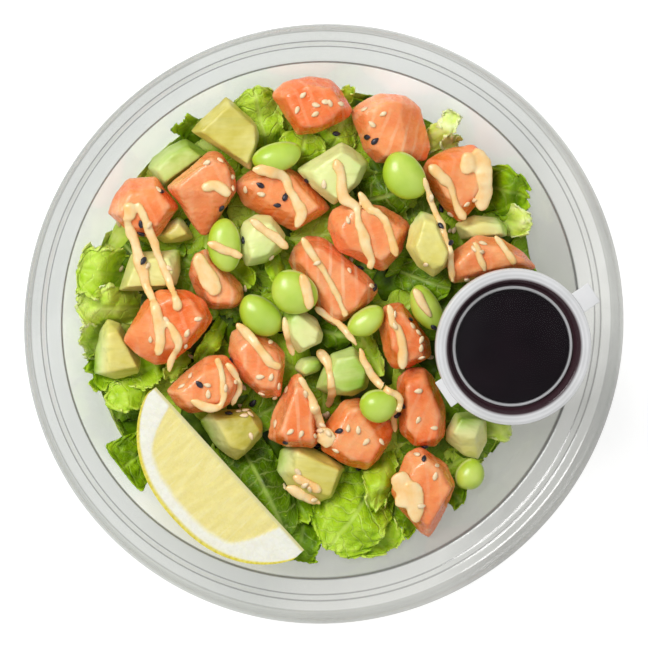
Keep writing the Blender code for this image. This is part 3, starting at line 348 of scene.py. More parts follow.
# Each stroke of mayonnaise: half its width, then the points that it runs through from above
STROKES = (
    (1.6, "-64,41 -65,36 -65,33 -63,28 -61,20 -59,13 -56,4 -55,-4 -56,-10"),
    (1.2, "-62,41 -59,34 -56,26 -53,18 -50,10 -49,5"),
    (1.3, "-53,2 -50,-3 -49,-7 -51,-11 -52,-16"),
    (1.4, "-39,28 -33,25 -27,23"),
    (1.4, "-25,35 -20,32 -16,29 -12,25"),
    (1.5, "-24,52 -18,51 -13,49 -11,45 -9,41 -7,37 -9,32"),
    (1.5, "4,55 6,49 7,42 11,39 12,33 14,27 16,22 16,18"),
    (1.3, "12,44 15,39 18,37 21,34 23,28 25,22"),
    (1.3, "-7,29 -4,24 0,18 3,13 5,9 7,4 8,2"),
    (1.4, "-8,17 -6,12 -5,5"),
    (1.5, "-29,0 -25,-4 -21,-9 -18,-13 -14,-15"),
    (1.2, "-45,-25 -41,-27 -36,-28 -34,-25 -34,-20 -35,-14 -36,-11"),
    (1.2, "-33,-13 -29,-18 -28,-23 -31,-28"),
    (1.4, "22,6 24,0 26,-4 27,-10 27,-16"),
    (1.3, "31,11 34,6 37,1"),
    (1.4, "36,53 40,49 44,45 46,39 49,34"),
    (2.1, "50,57 49.5,53 50,49"),
    (2.7, "52,58 55,52 55.5,45 54.5,37"),
    (1.2, "34,49 36,42 39,35 41,29 43,23 44,13"),
    (1.2, "51,27 53,22 55,17"),
    (1.2, "58,29 62,24 65,19"),
    (1.2, "-1,-10 2,-14 3,-21 4,-27 3,-31"),
    (1.3, "13,-9 15,-15 19,-21 22,-23 26,-26 25,-32 26,-39"),
    (1.5, "-8,-18 -4,-25 -3,-29 -1,-33 -1,-37"),
    (1.5, "-10,-53 -5,-55 0,-58"),
    (1.3, "-12,-57 -7,-59 -4,-61 0,-63"),
    (1.1, "-2,5 3,1 8,-3 12,-8"),
    (1.2, "-13,2 -11,-7 -9,-12"),
    (2.3, "-41,46 -36,46.5 -31,43.5"),
    (2.6, "-42,24 -40,18 -37,13 -35,10"),
    (3.6, "25,-51 27.5,-57 28.5,-63"),
    (2.9, "29,-54 30.5,-60 31.5,-68"),
    (2.6, "2,-36 1,-40 4,-38"),
)
# Sesame seeds, in pixels of the photograph's frame, which the camera's own geometry turns to places
BLACK_SEEDS = (
    "286,79 336,134 368,137 375,141 307,180 285,197 277,205 260,185 221,208 244,240 161,192 141,224 "
    "141,233 143,261 360,268 374,288 441,209 441,226 450,243 410,320 434,327 232,360 199,384 229,414 "
    "253,403 286,442 317,446 339,431 359,469 404,406 397,415 424,446 424,459 "
)
PALE_SEEDS = (
    "303,95 316,105 326,102 315,114 297,110 330,103 340,104 365,110 383,114 372,124 207,163 220,161 "
    "232,177 232,188 261,194 246,189 158,190 119,223 149,225 147,266 121,268 169,268 317,263 271,257 "
    "246,288 324,184 475,200 466,204 348,220 351,260 349,271 431,198 451,214 449,231 454,230 474,249 "
    "483,244 481,252 467,279 371,286 426,264 151,339 166,320 187,333 198,319 185,346 182,387 191,376 "
    "207,385 225,388 235,382 243,387 208,394 260,377 271,377 278,386 270,343 262,393 275,397 287,390 "
    "306,394 276,424 301,434 290,432 251,436 241,406 246,411 250,415 239,412 244,416 320,431 326,415 "
    "284,487 298,472 310,489 314,500 305,485 190,357 348,428 358,430 366,442 381,442 336,450 394,314 "
    "395,326 412,326 418,333 421,340 421,348 421,357 430,357 418,391 418,420 434,428 417,455 436,466 "
    "435,476 421,506 327,415 322,425 328,433 314,436 "
)

# Bends of the tub that show as painted dark lines: radius, half width, and how much light comes through. These
# lines and the ledges' painted shade tints run over RING_SPAN from RING_START, the tints of the pot's lid over
# LID_SPAN from its middle
RING_START = 84.0
RING_SPAN = 18.0
LID_SPAN = 30.0
RINGS = ((87.5, 0.45, 0.30), (92.7, 0.3, 0.62), (94.5, 0.3, 0.60), (97.9, 0.35, 0.8), (100.2, 0.5, 0.95))

# Strokes of mayonnaise: points on the rope's girth, distance of its steps, and from what radius it is a patch
ROPE_SIDES = 12
ROPE_STEP = 0.6
PATCH_RADIUS = 2.0

# Lamps: place, diameter in metres and power
LAMPS = {"key": ((-520, 480, 900), 0.6, 9.6), "fill": ((600, -300, 800), 0.9, 1.0)}
LAMP_TARGET = Vector((0, 0, 50))
ROOM_LIGHT = 0.44
FLOOR_LIGHT = 0.55
FLOOR_REACH = 3000

# Camera
SENSOR = 36
FRAME_PIXELS = 648
FRAME_SPAN = 215.4
CAMERA_DISTANCE = 1100.0
CAMERA_TILT = math.radians(9.0)
TARGET = Vector((-1.0, 1.0, TUB_HEIGHT))
LEAN = math.sin(CAMERA_TILT) / math.sqrt(2)
EYE = TARGET + CAMERA_DISTANCE * Vector((-LEAN, LEAN, math.cos(CAMERA_TILT)))


# Meshes


def placed(name, data):
    """A new object in the scene."""
    made = bpy.data.objects.new(name, data)
    bpy.context.scene.collection.objects.link(made)
    return made


def mesh_object(name, points, faces, finish):
    """An object from points in millimetres."""
    mesh = bpy.data.meshes.new(name)
    mesh.from_pydata((np.asarray(points, float) * MM).tolist(), [], faces)
    mesh.validate()
    mesh.materials.append(finish)
    mesh.shade_smooth()
    return placed(name, mesh)


def bm_object(name, bm, finish):
    """An object from an edited mesh in millimetres."""
    bmesh.ops.scale(bm, vec=(MM, MM, MM), verts=bm.verts)
    mesh = bpy.data.meshes.new(name)
    bm.to_mesh(mesh)
    bm.free()
    mesh.materials.append(finish)
    mesh.shade_smooth()
    return placed(name, mesh)


def clean(mesh, merge=0.0, fill=False):
    """Joins points that lie together, closes holes if asked, and turns all faces outward."""
    bm = bmesh.new()
    bm.from_mesh(mesh)
    if merge:
        bmesh.ops.remove_doubles(bm, verts=bm.verts, dist=merge)
    if fill:
        bmesh.ops.holes_fill(bm, edges=[e for e in bm.edges if e.is_boundary], sides=0)
    bmesh.ops.recalc_face_normals(bm, faces=bm.faces)
    bm.to_mesh(mesh)
    bm.free()


def bevel_all(bm, offset, segments):
    bmesh.ops.bevel(
        bm, geom=bm.edges[:], offset=offset, segments=segments, profile=0.5, affect="EDGES",
        clamp_overlap=True,
    )


def remeshed(obj, voxel, rounds):
    """The object as one even skin, smoothed a few times."""
    remesh = obj.modifiers.new("grid", "REMESH")
    remesh.mode = "VOXEL"
    remesh.voxel_size = voxel * MM
    smooth = obj.modifiers.new("smooth", "SMOOTH")
    smooth.factor = 0.5
    smooth.iterations = rounds
    mesh = apply_modifiers(obj)
    mesh.shade_smooth()
    return mesh


def apply_modifiers(obj):
    bpy.context.view_layer.update()
    seen = obj.evaluated_get(bpy.context.evaluated_depsgraph_get())
    mesh = bpy.data.meshes.new_from_object(seen)
    obj.modifiers.clear()
    old = obj.data
    obj.data = mesh
    mesh.name = obj.name
    bpy.data.meshes.remove(old)
    return mesh


def points_of(mesh):
    """A mesh's points in millimetres."""
    points = np.empty(len(mesh.vertices) * 3)
    mesh.vertices.foreach_get("co", points)
    return points.reshape(-1, 3) / MM


def normals_of(mesh):
    normals = np.empty(len(mesh.vertices) * 3)
    mesh.vertices.foreach_get("normal", normals)
    return normals.reshape(-1, 3)


def set_points(mesh, points):
    mesh.vertices.foreach_set("co", (points * MM).ravel())
    mesh.update()


def attribute(mesh, name, values):
    values = np.asarray(values, float)
    kind = "FLOAT_VECTOR" if values.ndim == 2 else "FLOAT"
    made = mesh.attributes.new(name, kind, "POINT")
    made.data.foreach_set("vector" if values.ndim == 2 else "value", values.ravel())


def finish_piece(obj, slot, *nodes):
    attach(obj, "root")
    if nodes:
        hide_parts(*nodes)
    return obj


def grid_faces(rows, columns, first=0):
    """Faces of a grid of points, row after row."""
    return [
        (first + i * columns + j, first + i * columns + j + 1, first + (i + 1) * columns + j + 1,
         first + (i + 1) * columns + j)
        for i in range(rows - 1)
        for j in range(columns - 1)
    ]


def ring_faces(joins, sides):
    """Faces between rings of points, for pairs of the rings' numbers."""
    return [
        (i * sides + j, i * sides + (j + 1) % sides, k * sides + (j + 1) % sides, k * sides + j)
        for i, k in joins
        for j in range(sides)
    ]


def in_turn(count):
    return [(i, i + 1) for i in range(count)]


def unit(value):
    """The value held between 0 and 1."""
    return min(max(value, 0), 1)


def drift(x, y, z):
    """Smooth noise from -1 to 1 at a place."""
    return noise.noise(Vector((x, y, z)))


def wobble(points, size, seed):
    """Smooth noise from -1 to 1 at each point."""
    shift = Vector((seed * 13.7, seed * 5.1, seed * 9.3))
    return np.array([noise.noise(Vector(p) / size + shift) for p in points])


# Materials


class Finish:
    """A Principled material and short names for the nodes that drive it."""

    def __init__(self, name, roughness, under=None, coat=None, **values):
        self.material = bpy.data.materials.new(name)
        self.material.use_nodes = True
        self.tree = self.material.node_tree
        self.shader = self.tree.nodes["Principled BSDF"]
        self.set(self.shader, Roughness=roughness, **values)
        if under:
            weight, scale, radius = under
            self.set(self.shader, Subsurface_Weight=weight, Subsurface_Scale=scale, Subsurface_Radius=radius)
        if coat:
            self.set(self.shader, Coat_Weight=coat[0], Coat_Roughness=coat[1])

    def node(self, kind):
        return self.tree.nodes.new(f"ShaderNode{kind}")

    def set(self, node, **values):
        for name, value in values.items():
            node.inputs[name.replace("_", " ")].default_value = value

    def link(self, out, node, name):
        self.tree.links.new(out, node.inputs[name])

    def plug(self, value, socket):
        """A node's output, a colour or a number put into an input."""
        if isinstance(value, bpy.types.NodeSocket):
            self.tree.links.new(value, socket)
        else:
            socket.default_value = (*value, 1) if isinstance(value, tuple) else value

    def attribute(self, name, output="Fac"):
        node = self.node("Attribute")
        node.attribute_name = name
        return node.outputs[output]

    def position(self):
        return self.node("TexCoord").outputs["Object"]

    def noise(self, scale, detail=3.0, vector=None, roughness=0.5, stretch=None):
        node = self.node("TexNoise")
        self.set(node, Scale=scale, Detail=detail, Roughness=roughness)
        vector = vector or self.position()
        if stretch:
            mapping = self.node("Mapping")
            mapping.inputs["Scale"].default_value = stretch
            self.link(vector, mapping, "Vector")
            vector = mapping.outputs[0]
        self.link(vector, node, "Vector")
        return node.outputs["Fac"]

    def cells(self, scale, vector=None, feature="F1"):
        node = self.node("TexVoronoi")
        node.feature = feature
        self.set(node, Scale=scale)
        self.link(vector or self.position(), node, "Vector")
        return node.outputs["Distance"]

    def ramp(self, factor, stops, smooth=False):
        node = self.node("ValToRGB")
        node.color_ramp.interpolation = "EASE" if smooth else "LINEAR"
        elements = node.color_ramp.elements
        while len(elements) < len(stops):
            elements.new(0.5)
        for element, (place, colour) in zip(elements, stops):
            element.position = place
            element.color = (*colour, 1) if isinstance(colour, tuple) else (colour, colour, colour, 1)
        self.link(factor, node, "Fac")
        return node.outputs["Color"]

    def mix(self, factor, a, b, blend="MIX"):
        node = self.node("Mix")
        node.data_type = "RGBA"
        node.blend_type = blend
        for value, place in ((factor, 0), (a, 6), (b, 7)):
            self.plug(value, node.inputs[place])
        return node.outputs[2]

    def math(self, operation, a, b=0.0, clamp=False):
        node = self.node("Math")
        node.operation = operation
        node.use_clamp = clamp
        self.plug(a, node.inputs[0])
        self.plug(b, node.inputs[1])
        return node.outputs[0]

    def times(self, a, b, clamp=False):
        return self.math("MULTIPLY", a, b, clamp)

    def plus(self, a, b, clamp=False):
        return self.math("ADD", a, b, clamp)

    def minus(self, a, b):
        return self.math("SUBTRACT", a, b)

    def parts(self, vector):
        """The x, y and z of a vector."""
        node = self.node("SeparateXYZ")
        self.link(vector, node, "Vector")
        return [node.outputs[axis] for axis in "XYZ"]

    def radius(self, place=(0, 0)):
        """Distance from an upright axis, in millimetres."""
        x, y, _ = self.parts(self.position())
        x = self.minus(x, place[0] * MM)
        y = self.minus(y, place[1] * MM)
        square = self.plus(self.times(x, x), self.times(y, y))
        return self.times(self.math("SQRT", square), 1 / MM)

    def normal(self):
        return self.parts(self.node("NewGeometry").outputs["Normal"])

    def upward(self):
        """How far a face looks up, from 0 to 1."""
        return self.normal()[2]

    def lit(self):
        """How far a face looks to the upper left, where the light comes from."""
        x, y, z = self.normal()
        level = self.times(self.minus(y, x), 0.4)
        return self.plus(level, self.times(z, 0.82))

    def blend(self, share, below, above):
        """Makes the material's surface from two shaders, the upper one by its share."""
        mix = self.node("MixShader")
        for value, socket in zip((share, below, above), mix.inputs):
            self.tree.links.new(value, socket)
        self.tree.links.new(mix.outputs[0], self.tree.nodes["Material Output"].inputs["Surface"])

    def gloss(self, roughness):
        """A clear shine over what the piece shows, stronger at a low angle."""
        shine = self.node("BsdfGlossy")
        self.set(shine, Roughness=roughness)
        before = self.tree.nodes["Material Output"].inputs["Surface"].links[0].from_socket
        share = self.math("POWER", self.facing(0.5), 4.0)
        share = self.plus(self.times(share, 0.22), 0.045)
        self.blend(share, before, shine.outputs[0])

    def see_through(self, share, tint):
        """Lets light through the piece, tinted, where the share of its own surface is low."""
        clear = self.node("BsdfTransparent")
        self.link(tint, clear, "Color")
        self.blend(share, clear.outputs[0], self.shader.outputs[0])

    def facing(self, blend=0.35):
        node = self.node("LayerWeight")
        self.set(node, Blend=blend)
        return node.outputs["Facing"]

    def colour(self, out):
        self.link(out, self.shader, "Base Color")

    def rough(self, out):
        self.link(out, self.shader, "Roughness")

    def bump(self, height, distance, strength=1.0):
        node = self.node("Bump")
        self.set(node, Distance=distance * MM, Strength=strength)
        self.link(height, node, "Height")
        before = self.shader.inputs["Normal"].links
        if before:
            self.link(before[0].from_socket, node, "Normal")
        self.link(node.outputs[0], self.shader, "Normal")


def salmon_finish():
    """Moist orange flesh with soft fat lines, and painted light and shade: deeper sides away from the light,
    pinker tops, ridges painted pale.
    """
    made = Finish("salmon_look", 0.3, under=(0.35, 0.004, (1.0, 0.3, 0.14)), coat=(0.3, 0.08), IOR=1.42)
    cut = made.attribute("cut", "Vector")
    tone = made.attribute("tone")
    fat = made.attribute("fat")
    ridge = made.attribute("ridge")
    fine = made.noise(0.4, 4, cut)
    broad = made.noise(0.09, 3, cut)
    # Painted shade and light: faces turned away from the light take the deeper side colours, faces turned to it
    # the paler tops
    side = made.ramp(broad, ((0.35, (0.86, 0.125, 0.008)), (0.65, (0.92, 0.19, 0.020))))
    tops = ((0.36, (0.90, 0.20, 0.034)), (0.5, (0.94, 0.30, 0.083)), (0.64, (0.97, 0.42, 0.16)))
    top = made.ramp(broad, tops)
    colour = made.mix(made.ramp(made.lit(), ((0.25, 0.0), (0.82, 1.0))), side, top)
    colour = made.mix(made.times(tone, 0.5, clamp=True), colour, (0.95, 0.38, 0.17))
    colour = made.mix(made.times(tone, -0.6, clamp=True), colour, (0.86, 0.12, 0.015))
    wave = made.node("TexWave")
    made.set(wave, Scale=0.075, Distortion=3.0, Detail=2.5, Detail_Scale=0.6)
    made.link(cut, wave, "Vector")
    line = made.ramp(wave.outputs["Fac"], ((0.74, 0.0), (0.97, 1.0)), smooth=True)
    patch = made.ramp(made.noise(0.1, 2, cut), ((0.38, 0.25), (0.6, 1.0)))
    lines = made.times(made.times(line, patch), fat)
    colour = made.mix(lines, colour, (0.97, 0.56, 0.32))
    pale = made.ramp(fine, ((0.5, 0.0), (0.75, 0.09)))
    colour = made.mix(pale, colour, (0.98, 0.50, 0.24))
    # Painted highlight: convex ridges paler, in patches
    ridge_highlight = made.times(ridge, made.ramp(made.noise(0.25, 3, cut), ((0.4, 0.05), (0.65, 0.45))))
    colour = made.mix(ridge_highlight, colour, (0.98, 0.58, 0.33))
    made.colour(colour)
    made.rough(made.ramp(fine, ((0.3, 0.16), (0.7, 0.34))))
    made.bump(made.noise(0.5, 3, cut, stretch=(1.0, 2.6, 1.0)), 0.35, 0.6)
    made.bump(made.noise(0.16, 2, cut), 0.8, 0.5)
    made.bump(wave.outputs["Fac"], 0.2, 0.4)
    return made.material


def avocado_finish():
    """Buttery flesh, brown olive to cream inside and green at the outer side, with fine knife smears."""
    made = Finish("avocado_look", 0.42, under=(0.15, 0.002, (1.0, 0.9, 0.3)), coat=(0.08, 0.3))
    cut = made.attribute("cut", "Vector")
    green = made.attribute("green")
    haze = made.times(made.minus(made.noise(0.16, 3, cut), 0.5), 0.3)
    scaled = made.times(made.plus(made.plus(green, haze), 0.5), 0.667)
    colour = made.ramp(
        scaled,
        (
            (0.0, (0.42, 0.36, 0.02)),
            (0.17, (0.60, 0.52, 0.07)),
            (0.34, (0.80, 0.72, 0.21)),
            (0.5, (0.80, 0.82, 0.34)),
            (0.64, (0.64, 0.78, 0.26)),
            (0.8, (0.38, 0.56, 0.06)),
            (0.93, (0.22, 0.42, 0.015)),
            (1.0, (0.12, 0.27, 0.005)),
        ),
    )
    streak = made.ramp(made.noise(0.4, 4, cut, stretch=(0.2, 1.0, 1.0)), ((0.42, 0.0), (0.75, 0.3)))
    colour = made.mix(streak, colour, (0.84, 0.82, 0.42))
    groove = made.ramp(made.noise(0.3, 5, cut, stretch=(0.12, 1.0, 1.0)), ((0.3, 0.35), (0.45, 0.0)))
    colour = made.mix(groove, colour, (0.42, 0.42, 0.06))
    made.colour(colour)
    made.bump(made.noise(0.5, 4, cut, stretch=(0.2, 1.0, 1.0)), 0.4, 0.6)
    made.rough(made.ramp(made.noise(0.3, 3, cut), ((0.3, 0.32), (0.7, 0.52))))
    return made.material


def bean_finish():
    made = Finish("edamame_look", 0.3, under=(0.2, 0.003, (0.7, 1.0, 0.15)), coat=(0.2, 0.22))
    cut = made.attribute("cut", "Vector")
    greens = ((0.3, (0.36, 0.56, 0.015)), (0.5, (0.45, 0.64, 0.035)), (0.7, (0.57, 0.72, 0.10)))
    colour = made.ramp(made.noise(0.1, 3, cut), greens)
    # Painted light: faces that look up are paler
    high = made.ramp(made.upward(), ((0.6, 0.0), (1.0, 0.3)))
    colour = made.mix(high, colour, (0.66, 0.79, 0.24))
    made.colour(made.mix(made.attribute("seam"), colour, (0.72, 0.78, 0.36)))
    made.bump(made.noise(0.6, 3, cut), 0.12, 0.5)
    return made.material


def leaf_finish():
    """Leaf colours by the tone of each point, with veins and a net between them in each leaf's own frame."""
    made = Finish("leaf_look", 0.4, under=(0.1, 0.0012, (0.6, 1.0, 0.1)), Specular_IOR_Level=0.25)
    tone = made.attribute("tone")
    strength = made.attribute("vein")
    leaf = made.attribute("leaf", "Vector")
    along, across, _ = made.parts(leaf)
    away = made.math("ABSOLUTE", across)
    rib = made.ramp(away, ((0.0, 1.0), (0.45, 0.75), (0.95, 0.0)))
    bend = made.times(made.noise(0.22, 2, leaf), 1.1)
    step = made.times(made.minus(along, made.times(away, 0.75)), 0.21)
    place = made.math("FRACT", made.plus(step, bend))
    near = made.math("ABSOLUTE", made.minus(place, 0.5))
    branch = made.ramp(near, ((0.0, 0.85), (0.05, 0.55), (0.10, 0.0)))
    net = made.ramp(made.cells(0.55, leaf, "DISTANCE_TO_EDGE"), ((0.0, 0.3), (0.10, 0.0)))
    vein = made.math("MAXIMUM", made.math("MAXIMUM", rib, branch), net)
    vein = made.times(vein, strength)
    patch = made.times(made.minus(made.noise(150, 5), 0.5), 0.42)
    colour = made.ramp(
        made.plus(tone, patch),
        (
            (0.0, (0.030, 0.065, 0.0003)),
            (0.18, (0.105, 0.22, 0.001)),
            (0.36, (0.235, 0.43, 0.002)),
            (0.55, (0.41, 0.64, 0.016)),
            (0.75, (0.60, 0.80, 0.10)),
            (0.9, (0.73, 0.87, 0.24)),
            (1.0, (0.83, 0.91, 0.44)),
        ),
    )
    lighter = made.mix(0.4, colour, (0.68, 0.80, 0.24))
    made.colour(made.mix(vein, colour, lighter))
    blister = made.cells(0.34, leaf)
    made.bump(made.minus(0.6, made.plus(blister, vein)), 0.55, 0.8)
    made.bump(made.noise(1100, 3), 0.15, 0.5)
    made.rough(made.ramp(made.noise(400, 2), ((0.3, 0.28), (0.7, 0.5))))
    return made.material


def lemon_finish():
    """Rind, pith and flesh by the depth below the rind."""
    made = Finish("lemon_look", 0.32, under=(0.25, 0.003, (1.0, 0.85, 0.3)), coat=(0.25, 0.15))
    cut = made.attribute("cut", "Vector")
    inner = made.attribute("inner")
    rind = made.attribute("rind")
    edge = made.attribute("edge")
    vesicle = made.noise(0.26, 3, cut, stretch=(1.6, 0.35, 1.0))
    yellows = ((0.3, (0.81, 0.71, 0.25)), (0.5, (0.845, 0.745, 0.285)), (0.75, (0.88, 0.80, 0.37)))
    flesh = made.ramp(vesicle, yellows)
    thread = made.ramp(made.noise(0.45, 3, cut, stretch=(1.6, 0.16, 1.0)), ((0.6, 0.0), (0.72, 0.45)))
    flesh = made.mix(thread, flesh, (0.93, 0.90, 0.62))
    pith = made.ramp(made.noise(0.3, 3, cut), ((0.3, (0.84, 0.83, 0.70)), (0.7, (0.88, 0.88, 0.78))))
    yellows = ((0.3, (0.62, 0.52, 0.04)), (0.5, (0.78, 0.66, 0.06)), (0.75, (0.84, 0.77, 0.20)))
    skin = made.ramp(made.noise(0.7, 4, cut), yellows)
    colour = made.mix(rind, made.mix(inner, pith, flesh), skin)
    # Painted shade: darker along the core edge, where the lower cut face lies in shadow
    made.colour(made.mix(edge, colour, (0.60, 0.53, 0.12)))
    made.bump(made.times(vesicle, inner), 0.5, 0.5)
    made.bump(made.times(made.cells(1.1, cut), rind), 0.35, 0.6)
    made.rough(made.ramp(made.noise(0.6, 2, cut), ((0.3, 0.16), (0.7, 0.4))))
    return made.material


def mayo_finish():
    made = Finish("mayonnaise_look", 0.34, under=(0.3, 0.002, (1.0, 0.6, 0.35)), coat=(0.25, 0.15))
    # Painted light and shade: faces that look up are paler, the sides deeper orange
    side = made.ramp(made.noise(260, 3), ((0.3, (0.91, 0.43, 0.10)), (0.7, (0.94, 0.53, 0.17))))
    top = made.ramp(made.noise(200, 4), ((0.35, (0.94, 0.57, 0.21)), (0.65, (0.98, 0.74, 0.40))))
    made.colour(made.mix(made.ramp(made.upward(), ((0.1, 0.0), (0.85, 1.0))), side, top))
    made.bump(made.noise(420, 3), 0.25, 0.5)
    return made.material


def seed_finish(name, low, high, roughness):
    made = Finish(name, roughness)
    made.colour(made.ramp(made.noise(700, 2), ((0.3, low), (0.7, high))))
    made.bump(made.noise(2500, 2), 0.05, 0.4)
    return made.material


def sauce_finish():
    made = Finish("soy_look", 0.06, Specular_IOR_Level=0.08)
    made.colour(made.ramp(made.noise(60, 2), ((0.3, (0.004, 0.002, 0.004)), (0.7, (0.009, 0.004, 0.007)))))
    return made.material


def tub_finish():
    """Clear plastic with painted shade: greyer away from the light, and a thin painted dark line at each bend.
    """
    made = Finish("clear_plastic_look", 0.09, Specular_IOR_Level=0.6)
    made.colour(made.ramp(made.noise(40, 2), ((0.3, (0.60, 0.63, 0.61)), (0.7, (0.66, 0.68, 0.66)))))
    # Painted shade: the see-through tint follows direction, greyest towards the lower right, away from the
    # light
    x, y, _ = made.parts(made.position())
    turn = made.minus(made.times(x, 8.5), made.times(y, 5.3))
    haze = made.times(made.minus(made.noise(22, 3), 0.5), 0.5)
    turn = made.times(made.plus(made.plus(turn, haze), 1.0), 0.5)
    wall = made.ramp(
        turn,
        (
            (0.0, (0.87, 0.865, 0.85)), (0.14, (0.905, 0.91, 0.90)), (0.29, (0.86, 0.87, 0.85)),
            (0.42, (0.97, 0.97, 0.965)), (0.72, (0.825, 0.825, 0.80)), (0.9, (0.74, 0.74, 0.715)),
        ),
    )
    ledges = made.ramp(
        turn,
        (
            (0.05, (0.73, 0.735, 0.735)), (0.11, (0.765, 0.77, 0.77)), (0.25, (0.755, 0.76, 0.755)),
            (0.40, (0.78, 0.785, 0.78)), (0.61, (0.78, 0.785, 0.775)), (0.75, (0.86, 0.86, 0.845)),
            (0.89, (0.90, 0.90, 0.885)), (0.96, (0.76, 0.76, 0.745)),
        ),
    )
    place = made.times(made.minus(made.radius(), RING_START), 1 / RING_SPAN)
    shade = made.mix(made.ramp(place, ((3.0 / RING_SPAN, 0.0), (4.2 / RING_SPAN, 1.0))), wall, ledges)
    # Painted shade: the rim's outer flank is darker on the side away from the light
    flank = made.ramp(place, ((14.0 / RING_SPAN, 0.0), (14.4 / RING_SPAN, 1.0)))
    away = made.ramp(turn, ((0.62, 0.0), (0.78, 0.22)))
    shade = made.mix(made.times(flank, away), shade, (0.30, 0.30, 0.295))
    # Painted shade: a thin dark line at each bend, where the plastic bends the light away
    stops = [(0.0, 1.0)]
    for ring, width, dark in RINGS:
        middle, half = (ring - RING_START) / RING_SPAN, width / RING_SPAN
        stops += [(middle - half, 1.0), (middle, dark), (middle + half, 1.0)]
    line = made.ramp(place, stops)
    share = made.ramp(made.facing(), ((0.0, 0.06), (0.5, 0.16), (0.9, 0.6)))
    made.see_through(share, made.mix(1.0, shade, line, "MULTIPLY"))
    made.gloss(0.12)
    return made.material


def pot_finish():
    """Milky plastic that is clear and dark within the lid's bead."""
    made = Finish("milky_plastic_look", 0.22, Specular_IOR_Level=0.3)
    milky = made.ramp(made.noise(90, 3), ((0.3, (0.80, 0.805, 0.81)), (0.7, (0.89, 0.895, 0.905))))
    place = made.times(made.radius(POT_PLACE), 1 / LID_SPAN)
    bead = ((20.2, 0.0), (20.5, 1.0), (22.6, 1.0), (23.6, 0.0))
    dark = made.ramp(place, [(reach / LID_SPAN, value) for reach, value in bead])
    made.colour(made.mix(dark, milky, (0.045, 0.020, 0.026)))
    cover = (
        (0.0, 0.002), (19.3, 0.004), (19.6, 0.26), (20.1, 0.40), (20.4, 0.85), (22.6, 0.85), (23.4, 0.80),
        (24.2, 0.6), (25.0, 0.75), (25.6, 0.62), (26.2, 0.8),
    )
    share = made.ramp(place, [(reach / LID_SPAN, value) for reach, value in cover])
    share = made.plus(share, made.ramp(made.facing(0.3), ((0.4, 0.0), (1.0, 0.2))), clamp=True)
    tint = made.ramp(made.noise(90, 2), ((0.3, (0.90, 0.90, 0.91)), (0.7, (0.95, 0.95, 0.96))))
    made.see_through(share, tint)
    return made.material


# Tub


def tub_profile():
    ledge = LEDGE_HEIGHT
    return (
        (0.0, 3.2),
        (51.0, 3.2),
        (54.0, TUB_WALL),
        (60.5, TUB_WALL),
        (64.6, 3.4),
        (FOOT_RADIUS, FOOT_HEIGHT),
        (LEDGE_RADIUS, ledge),
        (LEDGE_RADIUS + 1.0, ledge + 0.9),
        (LEDGE_RADIUS + 5.4, ledge + 1.2),
        (LEDGE_RADIUS + 7.4, ledge + 3.4),
        (LEDGE_RADIUS + 10.4, ledge + 3.8),
        (RIM_RADIUS - 1.6, ledge + 5.4),
        (RIM_RADIUS - 1.0, TUB_HEIGHT - 0.8),
        (RIM_RADIUS - 0.2, TUB_HEIGHT),
    )


def rounded_profile(profile, reach=0.7, steps=3):
    """The profile with each corner cut round over a short reach."""
    points = [Vector(p) for p in profile]
    out = [points[0]]
    for before, corner, after in zip(points, points[1:], points[2:]):
        a = corner + (before - corner).normalized() * min(reach, (before - corner).length * 0.4)
        b = corner + (after - corner).normalized() * min(reach, (after - corner).length * 0.4)
        for i in range(steps + 1):
            t = i / steps
            out.append((1 - t) ** 2 * a + 2 * t * (1 - t) * corner + t * t * b)
    return [*out, points[-1]]


def offset_profile(points, distance):
    out = []
    for i, p in enumerate(points):
        before, after = points[max(i - 1, 0)], points[min(i + 1, len(points) - 1)]
        along = (after - before).normalized()
        out.append(p + Vector((along.y, -along.x)) * distance)
    return out


def turned(name, loop, sides, finish, middle=(0, 0)):
    """A closed profile turned about a vertical axis. Points on the axis are joined."""
    angles = np.linspace(0, math.tau, sides, endpoint=False)
    points = []
    for r, z in loop:
        points += [(middle[0] + r * math.cos(a), middle[1] + r * math.sin(a), z) for a in angles]
    count = len(loop)
    joins = [(i, (i + 1) % count) for i in range(count)]
    joins = [(i, k) for i, k in joins if max(loop[i][0], loop[k][0]) >= 1e-6]
    made = mesh_object(name, points, ring_faces(joins, sides), finish)
    clean(made.data, 1e-7)
    made.data.set_sharp_from_angle(angle=SHARP_ANGLE)
    return made


def build_tub():
    inner = rounded_profile(tub_profile(), 1.5, 5)
    outer = offset_profile(inner, TUB_WALL)
    outer[0] = Vector((0.0, inner[0].y - TUB_WALL))
    loop = [tuple(p) for p in inner] + [tuple(p) for p in reversed(outer)]
    finish_piece(turned("tub_look", loop, TUB_LOOK_SIDES, tub_finish()), "clear_plastic", "tub")


# Pot of soy sauce


def pot_part(name, loop, finish):
    return turned(name, [(r, z + POT_BASE) for r, z in loop], POT_LOOK_SIDES, finish, POT_PLACE)


